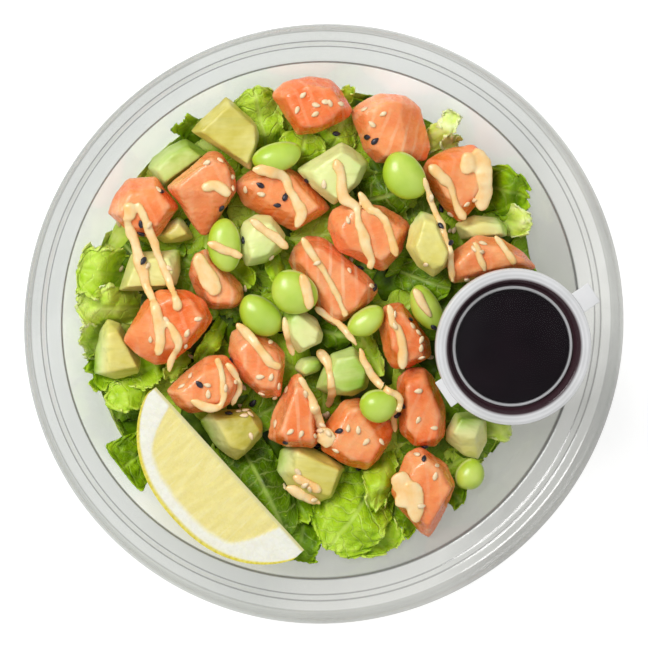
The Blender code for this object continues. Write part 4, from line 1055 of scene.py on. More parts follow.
def build_pot():
    milky = pot_finish()
    top, rim = POT_HEIGHT, POT_RIM_RADIUS
    loop = (
        (0.0, 0.0), (POT_BASE_RADIUS - 0.6, 0.0), (POT_BASE_RADIUS, 0.5), (rim - 0.6, top - 1.5),
        (rim + 0.5, top - 1.4), (rim + 0.6, top - 0.8), (rim - 1.2, top - 0.7),
        (POT_BASE_RADIUS - POT_WALL, 0.9), (0.0, 0.9),
    )
    finish_piece(pot_part("sauce_pot_cup_look", loop, milky), "milky_plastic", "sauce_pot_cup")

    slope = (POT_RIM_RADIUS - 1.2 - POT_BASE_RADIUS + POT_WALL) / (POT_HEIGHT - 1.6)
    low = 0.9 + GAP
    foot = POT_BASE_RADIUS - POT_WALL - GAP * 0.2
    brim = foot + slope * (SAUCE_HEIGHT - low)
    loop = [
        (0.0, low), (foot, low), (brim - 0.05, SAUCE_HEIGHT - 0.1), (brim, SAUCE_HEIGHT),
        (brim - 0.5, SAUCE_HEIGHT - 0.35), (brim - 1.6, SAUCE_HEIGHT - 0.5), (0.0, SAUCE_HEIGHT - 0.5),
    ]
    finish_piece(pot_part("soy_sauce_look", loop, sauce_finish()), "soy_sauce", "soy_sauce")

    loop = [
        (20.0, top - 2.6), (19.9, top - 3.5), (20.3, top - 3.8), (21.3, top - 3.8), (21.7, top - 3.4),
        (22.6, top - 0.4), (23.0, top - 0.15), (LID_RADIUS - 0.9, top - 0.15), (LID_RADIUS - 0.8, top - 2.5),
        (LID_RADIUS - 0.2, top - 2.6), (LID_RADIUS, top - 2.3), (LID_RADIUS, top + 0.1),
        (LID_RADIUS - 0.25, top + 0.65), (LID_RADIUS - 0.9, top + 0.9), (24.4, top + 0.9), (22.9, top + 0.8),
        (22.3, top + 0.5), (21.3, top - 2.7), (21.0, top - 2.95), (20.6, top - 2.9), (20.3, top - 2.0),
        (20.0, top - 1.9),
    ]
    lid = pot_part("sauce_pot_lid_look", loop, milky)
    loop = [(0.0, top - 2.6), (20.02, top - 2.6), (20.02, top - 1.9), (0.0, top - 1.9)]
    finish_piece(pot_part("sauce_pot_window", loop, milky), "milky_plastic", "sauce_pot_lid")
    for angle, length, width in STRAPS:
        bm = bmesh.new()
        bmesh.ops.create_cube(bm, size=1.0)
        bmesh.ops.scale(bm, vec=(length, width, STRAP_THICKNESS), verts=bm.verts)
        bevel_all(bm, 0.3, 3)
        bm.transform(Matrix.Translation((STRAP_START + length / 2, 0, POT_BASE + top - 0.4)))
        bm.transform(Matrix.Rotation(math.radians(angle), 4, "Z"))
        bm.transform(Matrix.Translation((*POT_PLACE, 0)))
        strap = bm_object("strap", bm, milky)
        with bpy.context.temp_override(active_object=lid, selected_editable_objects=[lid, strap]):
            bpy.ops.object.join()
    lid.data.set_sharp_from_angle(angle=SHARP_ANGLE)
    finish_piece(lid, "milky_plastic", "sauce_pot_lid")


# Chunks and beans


def places(words):
    """Pairs of numbers from words such as 155,234."""
    return [tuple(float(value) for value in word.split(",")) for word in words.split()]


def plan_point(place):
    """A place on the plan as millimetres from the tub's axis."""
    return Vector(((place[0] - PLAN_MIDDLE[0]) * PLAN_UNIT, (PLAN_MIDDLE[1] - place[1]) * PLAN_UNIT, 0))


def chunk_hull(chunk, number):
    """A chunk with sharp edges, as in the part: a narrow base, its widest outline and a flatter top."""
    height, outline, top = chunk[0], places(chunk[1]), places(chunk[2])
    draw = random.Random(SEED * 100 + number)
    corners = [plan_point(place) for place in outline]
    middle = sum(corners, Vector()) / len(corners)
    corners = [middle + (corner - middle) * OUTLINE_GROWTH for corner in corners]
    bm = bmesh.new()
    for i, corner in enumerate(corners):
        bm.verts.new((corner.x, corner.y, height * draw.uniform(*BELLY_SHARE)))
        if i % 3 == 0:
            foot = middle + (corner - middle) * BASE_SHARE
            bm.verts.new((foot.x, foot.y, height * draw.uniform(0, 0.08)))
    for place in top:
        corner = middle + (plan_point(place) - middle) * OUTLINE_GROWTH
        bm.verts.new((corner.x, corner.y, height * draw.uniform(0.9, 1)))
    hull = bmesh.ops.convex_hull(bm, input=bm.verts)
    inner = {v for v in hull["geom_interior"] + hull["geom_unused"] if isinstance(v, bmesh.types.BMVert)}
    bmesh.ops.delete(bm, geom=list(inner), context="VERTS")
    bmesh.ops.dissolve_limit(bm, angle_limit=FACET_ANGLE, verts=bm.verts, edges=bm.edges)
    return bm


def low_corner(bm):
    return Vector(np.array([v.co for v in bm.verts]).min(0))


def convexity(mesh, points, normals):
    """How sharply the surface turns away at each point, from 0 on flat faces to 1 on ridges."""
    ends = np.empty(len(mesh.edges) * 2, int)
    mesh.edges.foreach_get("vertices", ends)
    a, b = ends.reshape(-1, 2).T
    total, count = np.zeros_like(points), np.zeros(len(points))
    for one, other in ((a, b), (b, a)):
        np.add.at(total, one, points[other])
        np.add.at(count, one, 1)
    inward = points - total / np.maximum(count, 1)[:, None]
    bend = (inward * normals).sum(1)
    for _ in range(2):
        soft, found = bend.copy(), np.ones(len(points))
        for one, other in ((a, b), (b, a)):
            np.add.at(soft, one, bend[other])
            np.add.at(found, one, 1)
        bend = soft / found
    return np.clip(bend / 0.05, 0, 1)


def fine_chunk(name, number, finish):
    """The chunk in fine mesh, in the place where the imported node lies."""
    salmon = name.startswith("salmon")
    rough = chunk_hull(CHUNKS[name], number)
    if salmon:
        bevel_all(rough, SALMON_ROUNDING, 1)
    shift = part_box(name)[0] / MM - low_corner(rough)
    rough.free()

    bm = chunk_hull(CHUNKS[name], number)
    bevel_all(bm, 0.8 if salmon else 0.4, 3)
    made = bm_object(f"{name}_look", bm, finish)
    mesh = remeshed(made, VOXEL["salmon" if salmon else "avocado"], 2 if salmon else 1)
    points = points_of(mesh)
    local = points - points.mean(0)
    normals = normals_of(mesh)
    if salmon:
        relief = 0.45 * wobble(local, 7.5, number) + 0.16 * wobble(local * (1, 2.2, 1), 2.2, number)
        attribute(mesh, "ridge", convexity(mesh, points, normals))
    else:
        relief = 0.25 * wobble(local, 5.0, number) + 0.12 * wobble(local, 1.6, number)
    points = points + normals * relief[:, None] + np.array(shift)
    set_points(mesh, points)
    return made, local


def build_chunks():
    finishes = {"salmon": salmon_finish(), "avocado": avocado_finish()}
    slots = {"salmon": "raw_salmon", "avocado": "avocado_flesh"}
    made_pieces = []
    for number, name in enumerate(CHUNKS):
        kind = name.split("_")[0]
        made, local = fine_chunk(name, number, finishes[kind])
        draw = random.Random(SEED + number)
        grain = Matrix.Rotation(draw.uniform(-0.5, 0.5), 3, "Z")
        grain = grain @ Matrix.Rotation(draw.uniform(-0.6, 0.6), 3, "Y")
        attribute(made.data, "cut", local @ np.array(grain) + number * 37.0)
        if kind == "avocado":
            facing, share = AVOCADO_GREEN[name]
            side = points_of(made.data) @ np.array(Vector(facing).normalized())
            depth = side.max() - side
            attribute(made.data, "green", np.clip(share + (1 - share) * np.exp(-depth / 2.6) * 0.9, -0.5, 1))
        else:
            count = len(local)
            attribute(made.data, "tone", np.full(count, SALMON_TONE.get(name, draw.uniform(-0.4, 0.6))))
            attribute(made.data, "fat", np.full(count, SALMON_FAT.get(name, FAT_LINES)))
        finish_piece(made, slots[kind], name)
        made_pieces.append(made)
    return made_pieces


def bean_mesh(size, around, rings):
    """A slightly bent bean, as in the part, with its own number of faces."""
    bm = bmesh.new()
    bmesh.ops.create_uvsphere(bm, u_segments=around, v_segments=rings, radius=0.5)
    for v in bm.verts:
        x, y, z = v.co
        bend = 0.12 * (1 - 4 * x * x)
        v.co = Vector((x * size[0], (y - bend * 0.5) * size[1], z * size[2] * (1 - 0.12 * x)))
    return bm


def build_beans():
    finish = bean_finish()
    made_pieces = []
    for number, (name, (place, size, yaw)) in enumerate(BEANS.items()):
        spin = Matrix.Translation(plan_point(place)) @ Matrix.Rotation(math.radians(yaw), 4, "Z")
        rough = bean_mesh(size, 9, 6)
        rough.transform(spin)
        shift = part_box(name)[0] / MM - low_corner(rough)
        rough.free()
        made = bm_object(f"{name}_look", bean_mesh(size, 56, 36), finish)
        local = points_of(made.data)
        relief = 0.18 * wobble(local, 4.5, number + 3)
        set_points(made.data, local + normals_of(made.data) * relief[:, None])
        seam = np.exp(-((local[:, 2] - 1.2) / 0.5) ** 2) * (local[:, 1] > 0.2 * size[1])
        attribute(made.data, "cut", local + number * 23.0)
        attribute(made.data, "seam", seam * 0.7)
        middle = (shift + plan_point(place)) * MM
        made.data.transform(Matrix.Translation(middle) @ spin.to_3x3().to_4x4())
        finish_piece(made, "edamame_skin", name)
        made_pieces.append(made)
    return made_pieces


# Lemon


def lemon_girth(along):
    """Radius of the lemon at a place along its core, from -1 to 1."""
    return LEMON_RADIUS * max(1 - (abs(along) * 0.97) ** 2.3, 0) ** 0.62


def build_lemon():
    """A loft along the core: the upper cut face, the rind and the lower cut face."""
    down = math.radians(LEMON_ANGLE)
    face = np.linspace(0, 1, FACE_STEPS) ** 0.9
    arc = np.linspace(0, 1, RIND_STEPS)[1:-1]
    points, inner, rind, core_edge_shade, local = [], [], [], [], []
    for along in np.sin(np.linspace(-math.pi / 2, math.pi / 2, LEMON_STEPS)):
        girth = max(lemon_girth(along), 0.04) if abs(along) < 0.9999 else 0.02
        tip = max(along - 0.45, 0) / 0.25 + max(-along - 0.56, 0) / 0.27
        pith = 4.2 + 13.0 * tip ** 2 + 0.5 * drift(along * 6, 3.0, 1.0)
        section = [(girth * s, 0.0, "top") for s in face]
        section += [(girth, down * s, "arc") for s in arc]
        section += [(girth * s, down, "low") for s in face[::-1]]
        for reach, angle, where in section:
            depth = girth - reach
            flesh = unit((depth - pith) / 1.7) * unit((reach - 0.5) / 0.6)
            skin = 1.0 if where == "arc" else unit((1.7 - depth) / 0.8)
            x = along * LEMON_LENGTH / 2
            y, z = -reach * math.cos(angle), -reach * math.sin(angle)
            ripple = 0.28 * drift(x / 1.5, reach / 6.5, angle * 3) * flesh
            if where == "top":
                z -= 0.35 * flesh - ripple
            elif where == "arc":
                swell = 1 + 0.006 * drift(x / 3, angle * 9, 2.0)
                y, z = y * swell, z * swell
            points.append((x, y, z))
            local.append((x, reach, angle * 20))
            inner.append(flesh)
            rind.append(skin)
            # Painted shade along the core edge
            core_edge_shade.append(unit((1.3 - reach) / 0.7) * 0.75)
    columns = len(points) // LEMON_STEPS
    faces = grid_faces(LEMON_STEPS, columns)
    faces += [
        (i * columns, (i + 1) * columns, (i + 2) * columns - 1, (i + 1) * columns - 1)
        for i in range(LEMON_STEPS - 1)
    ]
    made = mesh_object("lemon_wedge_look", points, faces, lemon_finish())
    for key, values in (("cut", local), ("inner", inner), ("rind", rind), ("edge", core_edge_shade)):
        attribute(made.data, key, values)
    made.data.transform(Matrix.Rotation(math.radians(LEMON_YAW), 4, "Z"))
    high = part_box("lemon_wedge")[1].z
    made.data.transform(Matrix.Translation((LEMON_PLACE[0] * MM, LEMON_PLACE[1] * MM, high)))
    clean(made.data, 0.00002, fill=True)
    made.data.set_sharp_from_angle(angle=math.radians(42))
    return finish_piece(made, "lemon_flesh", "lemon_wedge")


# Salad


def tub_radius(z):
    return LEDGE_RADIUS - (LEDGE_HEIGHT - z) * WALL_SLOPE


def core_top(x, y):
    radius = math.hypot(x, y)
    crown = CROWN_HEIGHT - CROWN_DROP * (radius / CROWN_REACH) ** 2
    crown += CORE_BUMP * math.sin(x / 5.3 + 0.7) * math.cos(y / 4.7 - 0.4)
    away = math.hypot(x - POT_PLACE[0], y - POT_PLACE[1])
    share = unit((away - POT_BASE_RADIUS) / 7.0)
    return crown * share + (POT_BASE - GAP) * (1 - share)


def wall_limit(z):
    return tub_radius(z) * math.cos(math.pi / TUB_SIDES) - WALL_CLEARANCE


def leaf_place(u, v, phase, size, wave, fan):
    if fan:
        lobe = 0.35 + 0.65 * u
    else:
        lobe = 0.45 + 0.55 * math.sin(math.pi * min(0.12 + 0.72 * u, 1)) ** 0.7
        lobe *= 1 - 0.25 * max(u - 0.8, 0) / 0.2
    ruffle = wave * math.sin(phase + size * 0.3 * u + 1.3 * v) * (0.35 + 0.65 * abs(v))
    return lobe, ruffle + 1.2 * v * v


def leaf_vertex(spot, rise, ceiling):
    """A leaf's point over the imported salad: it turns up along the tub's wall and ducks under the toppings."""
    x, y = spot
    radius = math.hypot(x, y)
    base = core_top(x, y) + rise
    z = base
    for _ in range(8):
        z = min(base + WALL_CLIMB * max(radius - wall_limit(z), 0), LEDGE_HEIGHT - 0.9)
    for _ in range(2):
        pull = min(wall_limit(z) / radius, 1) if radius else 1
        cell = int((x * pull + HALF_SPAN) / CELL), int((y * pull + HALF_SPAN) / CELL)
        z = min(z, ceiling[cell] - GAP - LEAF_THICKNESS)
    pull = min(wall_limit(z) / radius, 1) if radius else 1
    return Vector((x * pull, y * pull, z))


def underside_map():
    """Lowest height of the toppings over each cell of the tub."""
    under = np.full((CELLS, CELLS), np.inf)
    centres = (np.arange(CELLS) + 0.5) * CELL - HALF_SPAN
    for name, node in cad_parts.items():
        if name in ("tub", "salad_leaves"):
            continue
        mesh = node.data
        mesh.calc_loop_triangles()
        points = points_of(mesh)
        for triangle in mesh.loop_triangles:
            a, b, c = points[list(triangle.vertices)]
            area = (b[0] - a[0]) * (c[1] - a[1]) - (c[0] - a[0]) * (b[1] - a[1])
            if area > -1e-6:
                continue
            low = np.floor((np.minimum(np.minimum(a, b), c)[:2] + HALF_SPAN) / CELL).astype(int) - 1
            high = np.ceil((np.maximum(np.maximum(a, b), c)[:2] + HALF_SPAN) / CELL).astype(int) + 1
            x, y = np.meshgrid(centres[low[0]:high[0]], centres[low[1]:high[1]], indexing="ij")
            u = ((x - a[0]) * (c[1] - a[1]) - (c[0] - a[0]) * (y - a[1])) / area
            v = ((b[0] - a[0]) * (y - a[1]) - (x - a[0]) * (b[1] - a[1])) / area
            inside = (u >= -1e-9) & (v >= -1e-9) & (u + v <= 1 + 1e-9)
            z = a[2] + u * (b[2] - a[2]) + v * (c[2] - a[2])
            cells = np.s_[low[0]:high[0], low[1]:high[1]]
            under[cells] = np.where(inside, np.minimum(under[cells], z), under[cells])
    return under


def spread(heights):
    """Each cell as low as the lowest cell beside it."""
    out = heights.copy()
    for dx in (-1, 0, 1):
        for dy in (-1, 0, 1):
            out = np.minimum(out, np.roll(heights, (dx, dy), (0, 1)))
    return out


def bilinear(grid, u, v):
    """A smooth surface through a small grid of points, with eased joins."""
    rows, columns = grid.shape[:2]
    a, b = min(u, 0.9999) * (rows - 1), min(v, 0.9999) * (columns - 1)
    i, j = int(a), int(b)
    s, t = a - i, b - j

    def cubic(p0, p1, p2, p3, w):
        return p1 + 0.5 * w * (p2 - p0 + w * (2 * p0 - 5 * p1 + 4 * p2 - p3 + w * (3 * (p1 - p2) + p3 - p0)))

    def row(k):
        k = min(max(k, 0), rows - 1)
        picks = [grid[k, min(max(j + d, 0), columns - 1)] for d in (-1, 0, 1, 2)]
        return cubic(*picks, t)

    return cubic(row(i - 1), row(i), row(i + 1), row(i + 2), s)


def leaf_control(index, name, leaf, ceiling):
    """The part's own grid of points for this leaf, from root to tip and across."""
    root, tip, width, lift, wave = leaf
    draw = random.Random(SEED * 1000 + index)
    phase = draw.uniform(0, math.tau)
    along = Vector(tip) - Vector(root)
    across = Vector((-along.y, along.x)).normalized() * width / 2
    grid = np.zeros((5, 3, 3))
    for i in range(5):
        for j in range(3):
            u, side = i / 4, j - 1.0
            lobe, ruffle = leaf_place(u, side, phase, along.length, wave, name.startswith("fan"))
            spot = Vector(root) + along * u + across * side * lobe
            rise = -1.6 + (lift + 1.6) * min(u * 2.2, 1) + ruffle * min(u * 3, 1)
            grid[i, j] = leaf_vertex(spot, rise, ceiling)
    return grid, phase


def torn(place, tear):
    """How deep the leaf's edge is torn in at a place along it."""
    depth = 0.5 + noise.noise(place) + 0.45 * (0.4 + noise.noise(place * 3.4))
    return tear * max(depth + 0.3 * noise.noise(place * 7.5), 0)


def leaf_sheet(name, index, leaf, ceiling):
    """A leaf in fine mesh over the part's own points, torn and frilled at its edge."""
    grid, phase = leaf_control(index, name, leaf, ceiling)
    kind = name.split("_")[0]
    frill, crinkle, tear, vein = LEAF_KINDS[kind]
    length, width = (Vector(leaf[1]) - Vector(leaf[0])).length, leaf[2]
    tone = LEAF_TONES.get(name, KIND_TONE[kind])
    rows = int(np.clip(round(length / LEAF_CELL), *LEAF_CELLS_ALONG))
    columns = int(np.clip(round(width / LEAF_CELL), *LEAF_CELLS_ACROSS))
    sheet = Sheet(rows, columns)
    for i in range(rows):
        u = i / (rows - 1)
        for j in range(columns):
            side = 2 * j / (columns - 1) - 1
            edge = abs(side)
            turn = 1 if side > 0 else -1
            place = Vector((u * length / 5.5, turn * index * 3.1, 0.0))
            bite = torn(place, tear)
            across = side * (1 - 2 * bite / width * edge ** 3)
            place = Vector((side * width / 9, index * 1.7, 4.0))
            corner = 0.24 if kind == "fan" else 0.13
            reach = u * (1 - torn(place, tear) / length * u ** 5 - corner * edge ** 2)
            p = bilinear(grid, unit(reach), unit((across + 1) / 2))
            rim = max(edge, max(u - 0.7, 0) / 0.3) ** 3
            run = u * length * turn + side * width * 0.45
            ruffle = frill * rim * (math.sin(phase * 2 + run * 1.25) + 0.5 * math.sin(phase * 5 + run * 2.7))
            fold = crinkle * drift(u * length / 2.6, side * width / 4.5, index)
            middle = math.exp(-((side * width / 2) / (0.5 + 0.8 * (1 - u))) ** 2)
            # Painted light and shade: crests of the ruffles and folds lighter, the root darker; the paler
            # frilled rim and the random drift are the leaf's own tone
            lighter = 0.1 * rim * min(frill, 1) + 0.14 * drift(u * 4, side * 3, index * 2.0)
            lighter += 0.10 * ruffle + 0.12 * fold / max(crinkle, 0.3) - 0.12 * (1 - u) ** 2
            sheet.add(
                (p[0], p[1], p[2] + ruffle * 0.8 + fold - 0.3 * middle * vein), tone + lighter, vein,
                (u * length, side * width / 2, index * 9.0),
            )
    return sheet


class Sheet:
    """A grid of points with the leaf's tone, the strength of its veins and its own flat frame at each."""

    def __init__(self, rows, columns):
        self.rows, self.columns = rows, columns
        self.points, self.looks = [], {"tone": [], "vein": [], "leaf": []}

    def add(self, point, tone, vein, place):
        self.points.append(point)
        for values, value in zip(self.looks.values(), (tone, vein, place)):
            values.append(value)


def salad_patch(kind, draw, tone):
    """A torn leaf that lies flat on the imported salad: on its top, or pressed to the tub's wall."""
    size = draw.uniform(16, 30), draw.uniform(12, 20)
    turn = draw.uniform(0, math.tau)
    if kind == "top":
        radius, heading = 78 * math.sqrt(draw.uniform(0, 1)), draw.uniform(0, math.tau)
        middle = (radius * math.cos(heading), radius * math.sin(heading))
    else:
        middle = (draw.uniform(0, math.tau), draw.uniform(0, 1))
    lift = draw.uniform(0.1, 1.1)
    rows, columns = TOP_PATCH_GRID if kind == "top" else SIDE_PATCH_GRID
    seed = draw.uniform(0, 100)
    sheet = Sheet(rows, columns)
    for i in range(rows):
        u = i / (rows - 1)
        for j in range(columns):
            side = 2 * j / (columns - 1) - 1
            body = math.sqrt(max(1 - (2 * u - 1) ** 2 * 0.86, 0))
            body *= 1 + 0.35 * drift(u * 5, side, seed)
            a = (u - 0.5) * size[0] * (1 + 0.25 * drift(side * 3, seed, 1))
            b = side * body * size[1] / 2
            x, y = a * math.cos(turn) - b * math.sin(turn), a * math.sin(turn) + b * math.cos(turn)
            rise = lift + 0.5 * drift(a / 4, b / 4, seed) - 0.5 * max(abs(side) - 0.7, 0)
            rise += 0.35 * math.sin(a * 1.3 + seed) * abs(side) ** 3
            if kind == "top":
                x, y = x + middle[0], y + middle[1]
                radius = max(math.hypot(x, y), 1e-6)
                pull = min((wall_limit(core_top(x, y)) + 0.6) / radius, 1)
                point = (x * pull, y * pull, core_top(x * pull, y * pull) + rise)
            else:
                z = min(max(9.5 + middle[1] * 21 + y, 8.8), 32.0)
                angle = middle[0] + x / 72
                out = tub_radius(z) - 0.95 + 0.55 * unit(rise / 1.3)
                point = (out * math.cos(angle), out * math.sin(angle), z)
            shade = tone + 0.1 * drift(u * 3, side * 2, seed)
            # Painted light: paler where the light comes through the wall
            if math.hypot(point[0], point[1]) > PALE_PATCH_RADIUS and point[1] - point[0] > PALE_REACH:
                shade = max(shade, 0.8)
            sheet.add(point, shade, 0.7, (a, b, seed))
    return sheet


def leaf_piece(name, sheets, finish, thickness):
    points, faces = [], []
    for sheet in sheets:
        faces += grid_faces(sheet.rows, sheet.columns, len(points))
        points += sheet.points
    made = mesh_object(name, points, faces, finish)
    for key in ("tone", "vein", "leaf"):
        attribute(made.data, key, [value for sheet in sheets for value in sheet.looks[key]])
    wall = made.modifiers.new("thickness", "SOLIDIFY")
    wall.thickness = thickness * MM
    wall.offset = 0
    apply_modifiers(made).shade_smooth()
    return finish_piece(made, "salad_leaf", "salad_leaves")


def build_core(finish):
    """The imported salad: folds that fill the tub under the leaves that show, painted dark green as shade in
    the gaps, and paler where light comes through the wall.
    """
    points, tones = [], []
    edge_height = CROWN_HEIGHT - CROWN_DROP
    low_height = FOOT_HEIGHT + CORE_SINK
    for i in range(CORE_RINGS + 1):
        share = i / CORE_RINGS
        for j in range(CORE_SIDES):
            heading = math.tau * j / CORE_SIDES
            if share < 0.55:
                radius = (tub_radius(edge_height) - CORE_GAP - CORE_SINK) * share / 0.55
                x, y = radius * math.cos(heading), radius * math.sin(heading)
                z = core_top(x, y) - CORE_SINK
            elif share < 0.85:
                t = (share - 0.55) / 0.3
                z = edge_height * (1 - t) + low_height * t
                radius = tub_radius(z) - CORE_GAP - CORE_SINK
            else:
                t = (share - 0.85) / 0.15
                radius = (FOOT_RADIUS - CORE_GAP - CORE_SINK) * (1 - t)
                z = low_height - 3.6 * min(t * 3, 1)
            x, y = radius * math.cos(heading), radius * math.sin(heading)
            fold = drift(x / 5, y / 5, z / 5)
            if share < 0.55:
                z += 0.5 * fold
            points.append((x, y, z))
            # Painted shade: dark green; painted light: paler where the light comes through the wall
            pale = radius > PALE_CORE_RADIUS and y - x > PALE_REACH
            tones.append((0.75 if pale else 0.12) + 0.25 * fold)
    made = mesh_object("salad_core_look", points, ring_faces(in_turn(CORE_RINGS), CORE_SIDES), finish)
    attribute(made.data, "tone", tones)
    attribute(made.data, "vein", [0.0] * len(tones))
    attribute(made.data, "leaf", points)
    clean(made.data, 1e-6)
    return finish_piece(made, "salad_leaf", "salad_leaves")


def build_salad():
    finish = leaf_finish()
    under = underside_map()
    for _ in range(CEILING_REACH):
        under = spread(under)
    made = [build_core(finish)]
    kinds = {}
    for index, (name, leaf) in enumerate(LEAVES.items()):
        kinds.setdefault(name.split("_")[0], []).append(leaf_sheet(name, index, leaf, under))
    for kind, sheets in kinds.items():
        made.append(leaf_piece(f"leaves_{kind}", sheets, finish, 0.45))
    draw = random.Random(SEED + 50)
    tones = (0.24, 0.32, 0.42, 0.52, 0.62)
    patches = [salad_patch("top", draw, draw.choice(tones)) for _ in range(TOP_PATCHES)]
    made.append(leaf_piece("leaves_packed_top", patches, finish, 0.3))
    tones = (0.2, 0.28, 0.36, 0.48, 0.6, 0.8)
    patches = [salad_patch("side", draw, draw.choice(tones)) for _ in range(SIDE_PATCHES)]
    made.append(leaf_piece("leaves_packed_side", patches, finish, 0.25))
    return made


# Mayonnaise and sesame


def combined_tree(objects):
    """One search tree over the tops of several objects, in millimetres."""
    points, faces = [], []
    for obj in objects:
        first = len(points)
        points += points_of(obj.data).tolist()
        faces += [tuple(first + v for v in p.vertices) for p in obj.data.polygons]
    return BVHTree.FromPolygons(points, faces)


def height_at(tree, x, y):
    hit = tree.ray_cast(Vector((x, y, 100)), Vector((0, 0, -1)))[0]
    return hit.z if hit else core_top(x, y)


def smooth_line(points, step):
    """Points at even steps on a smooth curve through the given ones."""
    grid = np.array(points, float)[:, None, :]
    length = sum(math.dist(a, b) for a, b in zip(points, points[1:]))
    count = max(int(length / step), 4)
    flat = np.concatenate([grid, grid], axis=1)
    return [bilinear(flat, i / (count - 1), 0.5) for i in range(count)]


def running(values, reach, pick):
    padded = np.pad(values, reach, mode="edge")
    return np.array([pick(padded[i:i + 2 * reach + 1]) for i in range(len(values))])


def strand(tree, radius, line, number):
    """A soft rope of mayonnaise laid along a line: it follows what it lies on and hangs over small gaps."""
    spots = smooth_line(places(line), ROPE_STEP)
    around = ((0, 0), (0.8, 0), (-0.8, 0), (0, 0.8), (0, -0.8))
    top = np.array([max(height_at(tree, x + dx, y + dy) for dx, dy in around) for x, y in spots])
    closed = running(running(top, 9, np.max), 9, np.min)
    soft = running(running(closed, 4, np.mean), 3, np.mean)
    z = np.maximum(soft, top) + radius * 0.12
    points = []
    count = len(spots)
    for i, (x, y) in enumerate(spots):
        before, after = spots[max(i - 1, 0)], spots[min(i + 1, count - 1)]
        along = Vector((after[0] - before[0], after[1] - before[1], 0)).normalized()
        across = Vector((-along.y, along.x, 0))
        end = min(i, count - 1 - i)
        size = radius * (1.16 + 0.6 * drift(i * 0.08, number * 2.3, 0))
        size += radius * 0.2 * drift(i * 0.33, number * 2.3, 5.0)
        if radius > PATCH_RADIUS:
            size *= math.sqrt(max(1 - abs(2 * i / (count - 1) - 1) ** 2.4, 0.02))
        else:
            size *= min(1, 0.4 + 0.16 * end)
        x += 0.5 * drift(i * 0.16, number * 4.1, 9.0)
        y += 0.5 * drift(i * 0.16, number * 4.1, 13.0)
        for k in range(ROPE_SIDES):
            angle = math.tau * k / ROPE_SIDES
            p = Vector((x, y, z[i])) + across * size * math.cos(angle)
            p.z += min(size, 1.9) * 0.62 * math.sin(angle)
            points.append(tuple(p))
    faces = ring_faces(in_turn(count - 1), ROPE_SIDES)
    faces.append(tuple(range(ROPE_SIDES)))
    faces.append(tuple((count - 1) * ROPE_SIDES + k for k in reversed(range(ROPE_SIDES))))
    return points, faces


def build_mayonnaise(tree):
    points, faces = [], []
    for number, (radius, line) in enumerate(STROKES):
        more, rings = strand(tree, radius, line, number)
        faces += [tuple(len(points) + v for v in ring) for ring in rings]
        points += more
    made = mesh_object("mayonnaise_drizzle", points, faces, mayo_finish())
    clean(made.data)
    remeshed(made, VOXEL["mayonnaise"], 5)
    return finish_piece(made, "raw_salmon")


def camera_axes():
    """The camera's right, its up and the way back from what it looks at."""
    back = (EYE - TARGET).normalized()
    right = Vector((0, 1, 0)).cross(back).normalized()
    return right, back.cross(right), back


def spot_from_pixel(tree, px, py):
    """Where the camera's ray through a pixel of the frame first meets the food, and which way that faces."""
    right, up, _ = camera_axes()
    scale = FRAME_SPAN / FRAME_PIXELS
    aim = TARGET + right * (px - FRAME_PIXELS / 2) * scale + up * (FRAME_PIXELS / 2 - py) * scale
    return tree.ray_cast(EYE, (aim - EYE).normalized())[:2]


def build_seeds(tree, name, pixels, size, finish, number):
    draw = random.Random(SEED + number)
    bm = bmesh.new()
    bmesh.ops.create_icosphere(bm, subdivisions=2, radius=0.5)
    shape = []
    for v in bm.verts:
        x, y, z = v.co
        slim = 1 - 0.42 * max(x + 0.05, 0) * 2
        shape.append(Vector((x, y * slim, z * slim)))
    rings = [tuple(v.index for v in f.verts) for f in bm.faces]
    bm.free()
    points, faces = [], []
    for px, py in places(pixels):
        hit, normal = spot_from_pixel(tree, px, py)
        if hit is None:
            continue
        grow = draw.uniform(0.9, 1.08)
        scale = Matrix.Diagonal((size[0] * grow, size[1] * grow, size[2] * grow))
        lie = normal.to_track_quat("Z", "X").to_matrix() @ Matrix.Rotation(draw.uniform(0, math.tau), 3, "Z")
        lie = lie @ Matrix.Rotation(draw.uniform(-0.18, 0.18), 3, "Y") @ scale
        middle = hit + normal * size[2] * 0.34
        faces += [tuple(len(points) + v for v in ring) for ring in rings]
        points += [tuple(middle + lie @ p) for p in shape]
    return finish_piece(mesh_object(name, points, faces, finish), "raw_salmon")


# Room


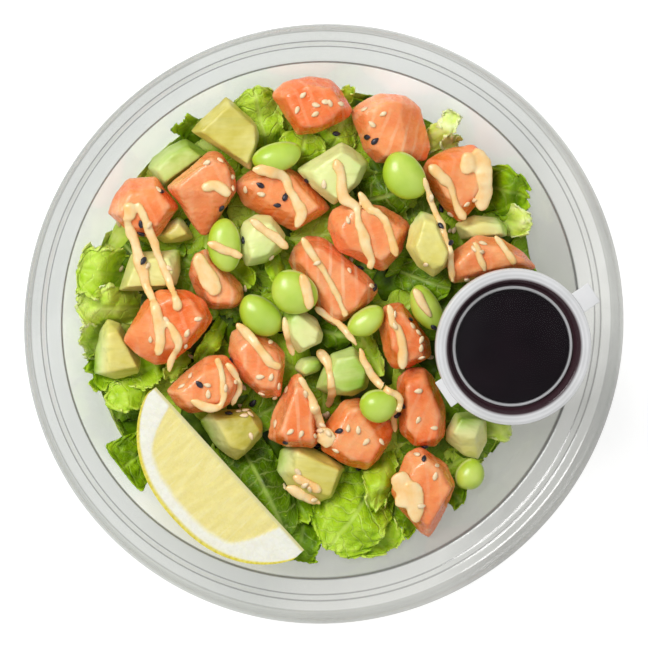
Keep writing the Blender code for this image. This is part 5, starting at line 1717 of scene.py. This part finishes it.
def build_room():
    """A plain pale floor, soft light from the upper left, and the camera."""
    made = Finish("floor_look", 0.9, Emission_Color=(1, 1, 1, 1), Emission_Strength=FLOOR_LIGHT)
    made.colour(made.ramp(made.noise(3, 2), ((0.3, (0.86, 0.86, 0.86)), (0.7, (0.88, 0.88, 0.88)))))
    corners = [(x * FLOOR_REACH, y * FLOOR_REACH, 0) for x, y in ((-1, -1), (1, -1), (1, 1), (-1, 1))]
    floor = mesh_object("floor", corners, [(0, 1, 2, 3)], made.material)

    world = bpy.data.worlds.new("soft_room")
    bpy.context.scene.world = world
    world.use_nodes = True
    sky = world.node_tree.nodes["Background"].inputs
    sky["Color"].default_value = (1.0, 1.0, 1.0, 1)
    sky["Strength"].default_value = ROOM_LIGHT

    for name, (place, size, power) in LAMPS.items():
        data = bpy.data.lights.new(name, "AREA")
        data.shape = "DISK"
        data.size = size
        data.energy = power
        lamp = placed(name, data)
        lamp.location = Vector(place) * MM
        lamp.rotation_mode = "QUATERNION"
        lamp.rotation_quaternion = (Vector(place) - LAMP_TARGET).to_track_quat("Z", "Y")

    data = bpy.data.cameras.new("camera")
    camera = placed("camera", data)
    data.sensor_width = SENSOR
    data.lens = SENSOR * CAMERA_DISTANCE / FRAME_SPAN
    data.clip_start, data.clip_end = 0.05, 20
    camera.matrix_world = Matrix.Translation(EYE * MM) @ Matrix(camera_axes()).transposed().to_4x4()
    bpy.context.scene.camera = camera
    bpy.context.scene.view_settings.view_transform = "Standard"


def build():
    build_tub()
    build_pot()
    toppings = build_chunks() + build_beans()
    lemon = build_lemon()
    salad = build_salad()
    tree = combined_tree([*toppings, lemon, *salad])
    mayonnaise = build_mayonnaise(tree)
    tree = combined_tree([*toppings, lemon, *salad, mayonnaise])
    pale = seed_finish("pale_sesame_look", (0.80, 0.58, 0.30), (0.93, 0.78, 0.52), 0.45)
    dark = seed_finish("black_sesame_look", (0.008, 0.008, 0.014), (0.03, 0.03, 0.045), 0.3)
    build_seeds(tree, "pale_sesame", PALE_SEEDS, (3.0, 1.8, 1.1), pale, 1)
    build_seeds(tree, "black_sesame", BLACK_SEEDS, (3.1, 1.9, 1.2), dark, 2)
    build_room()


build()
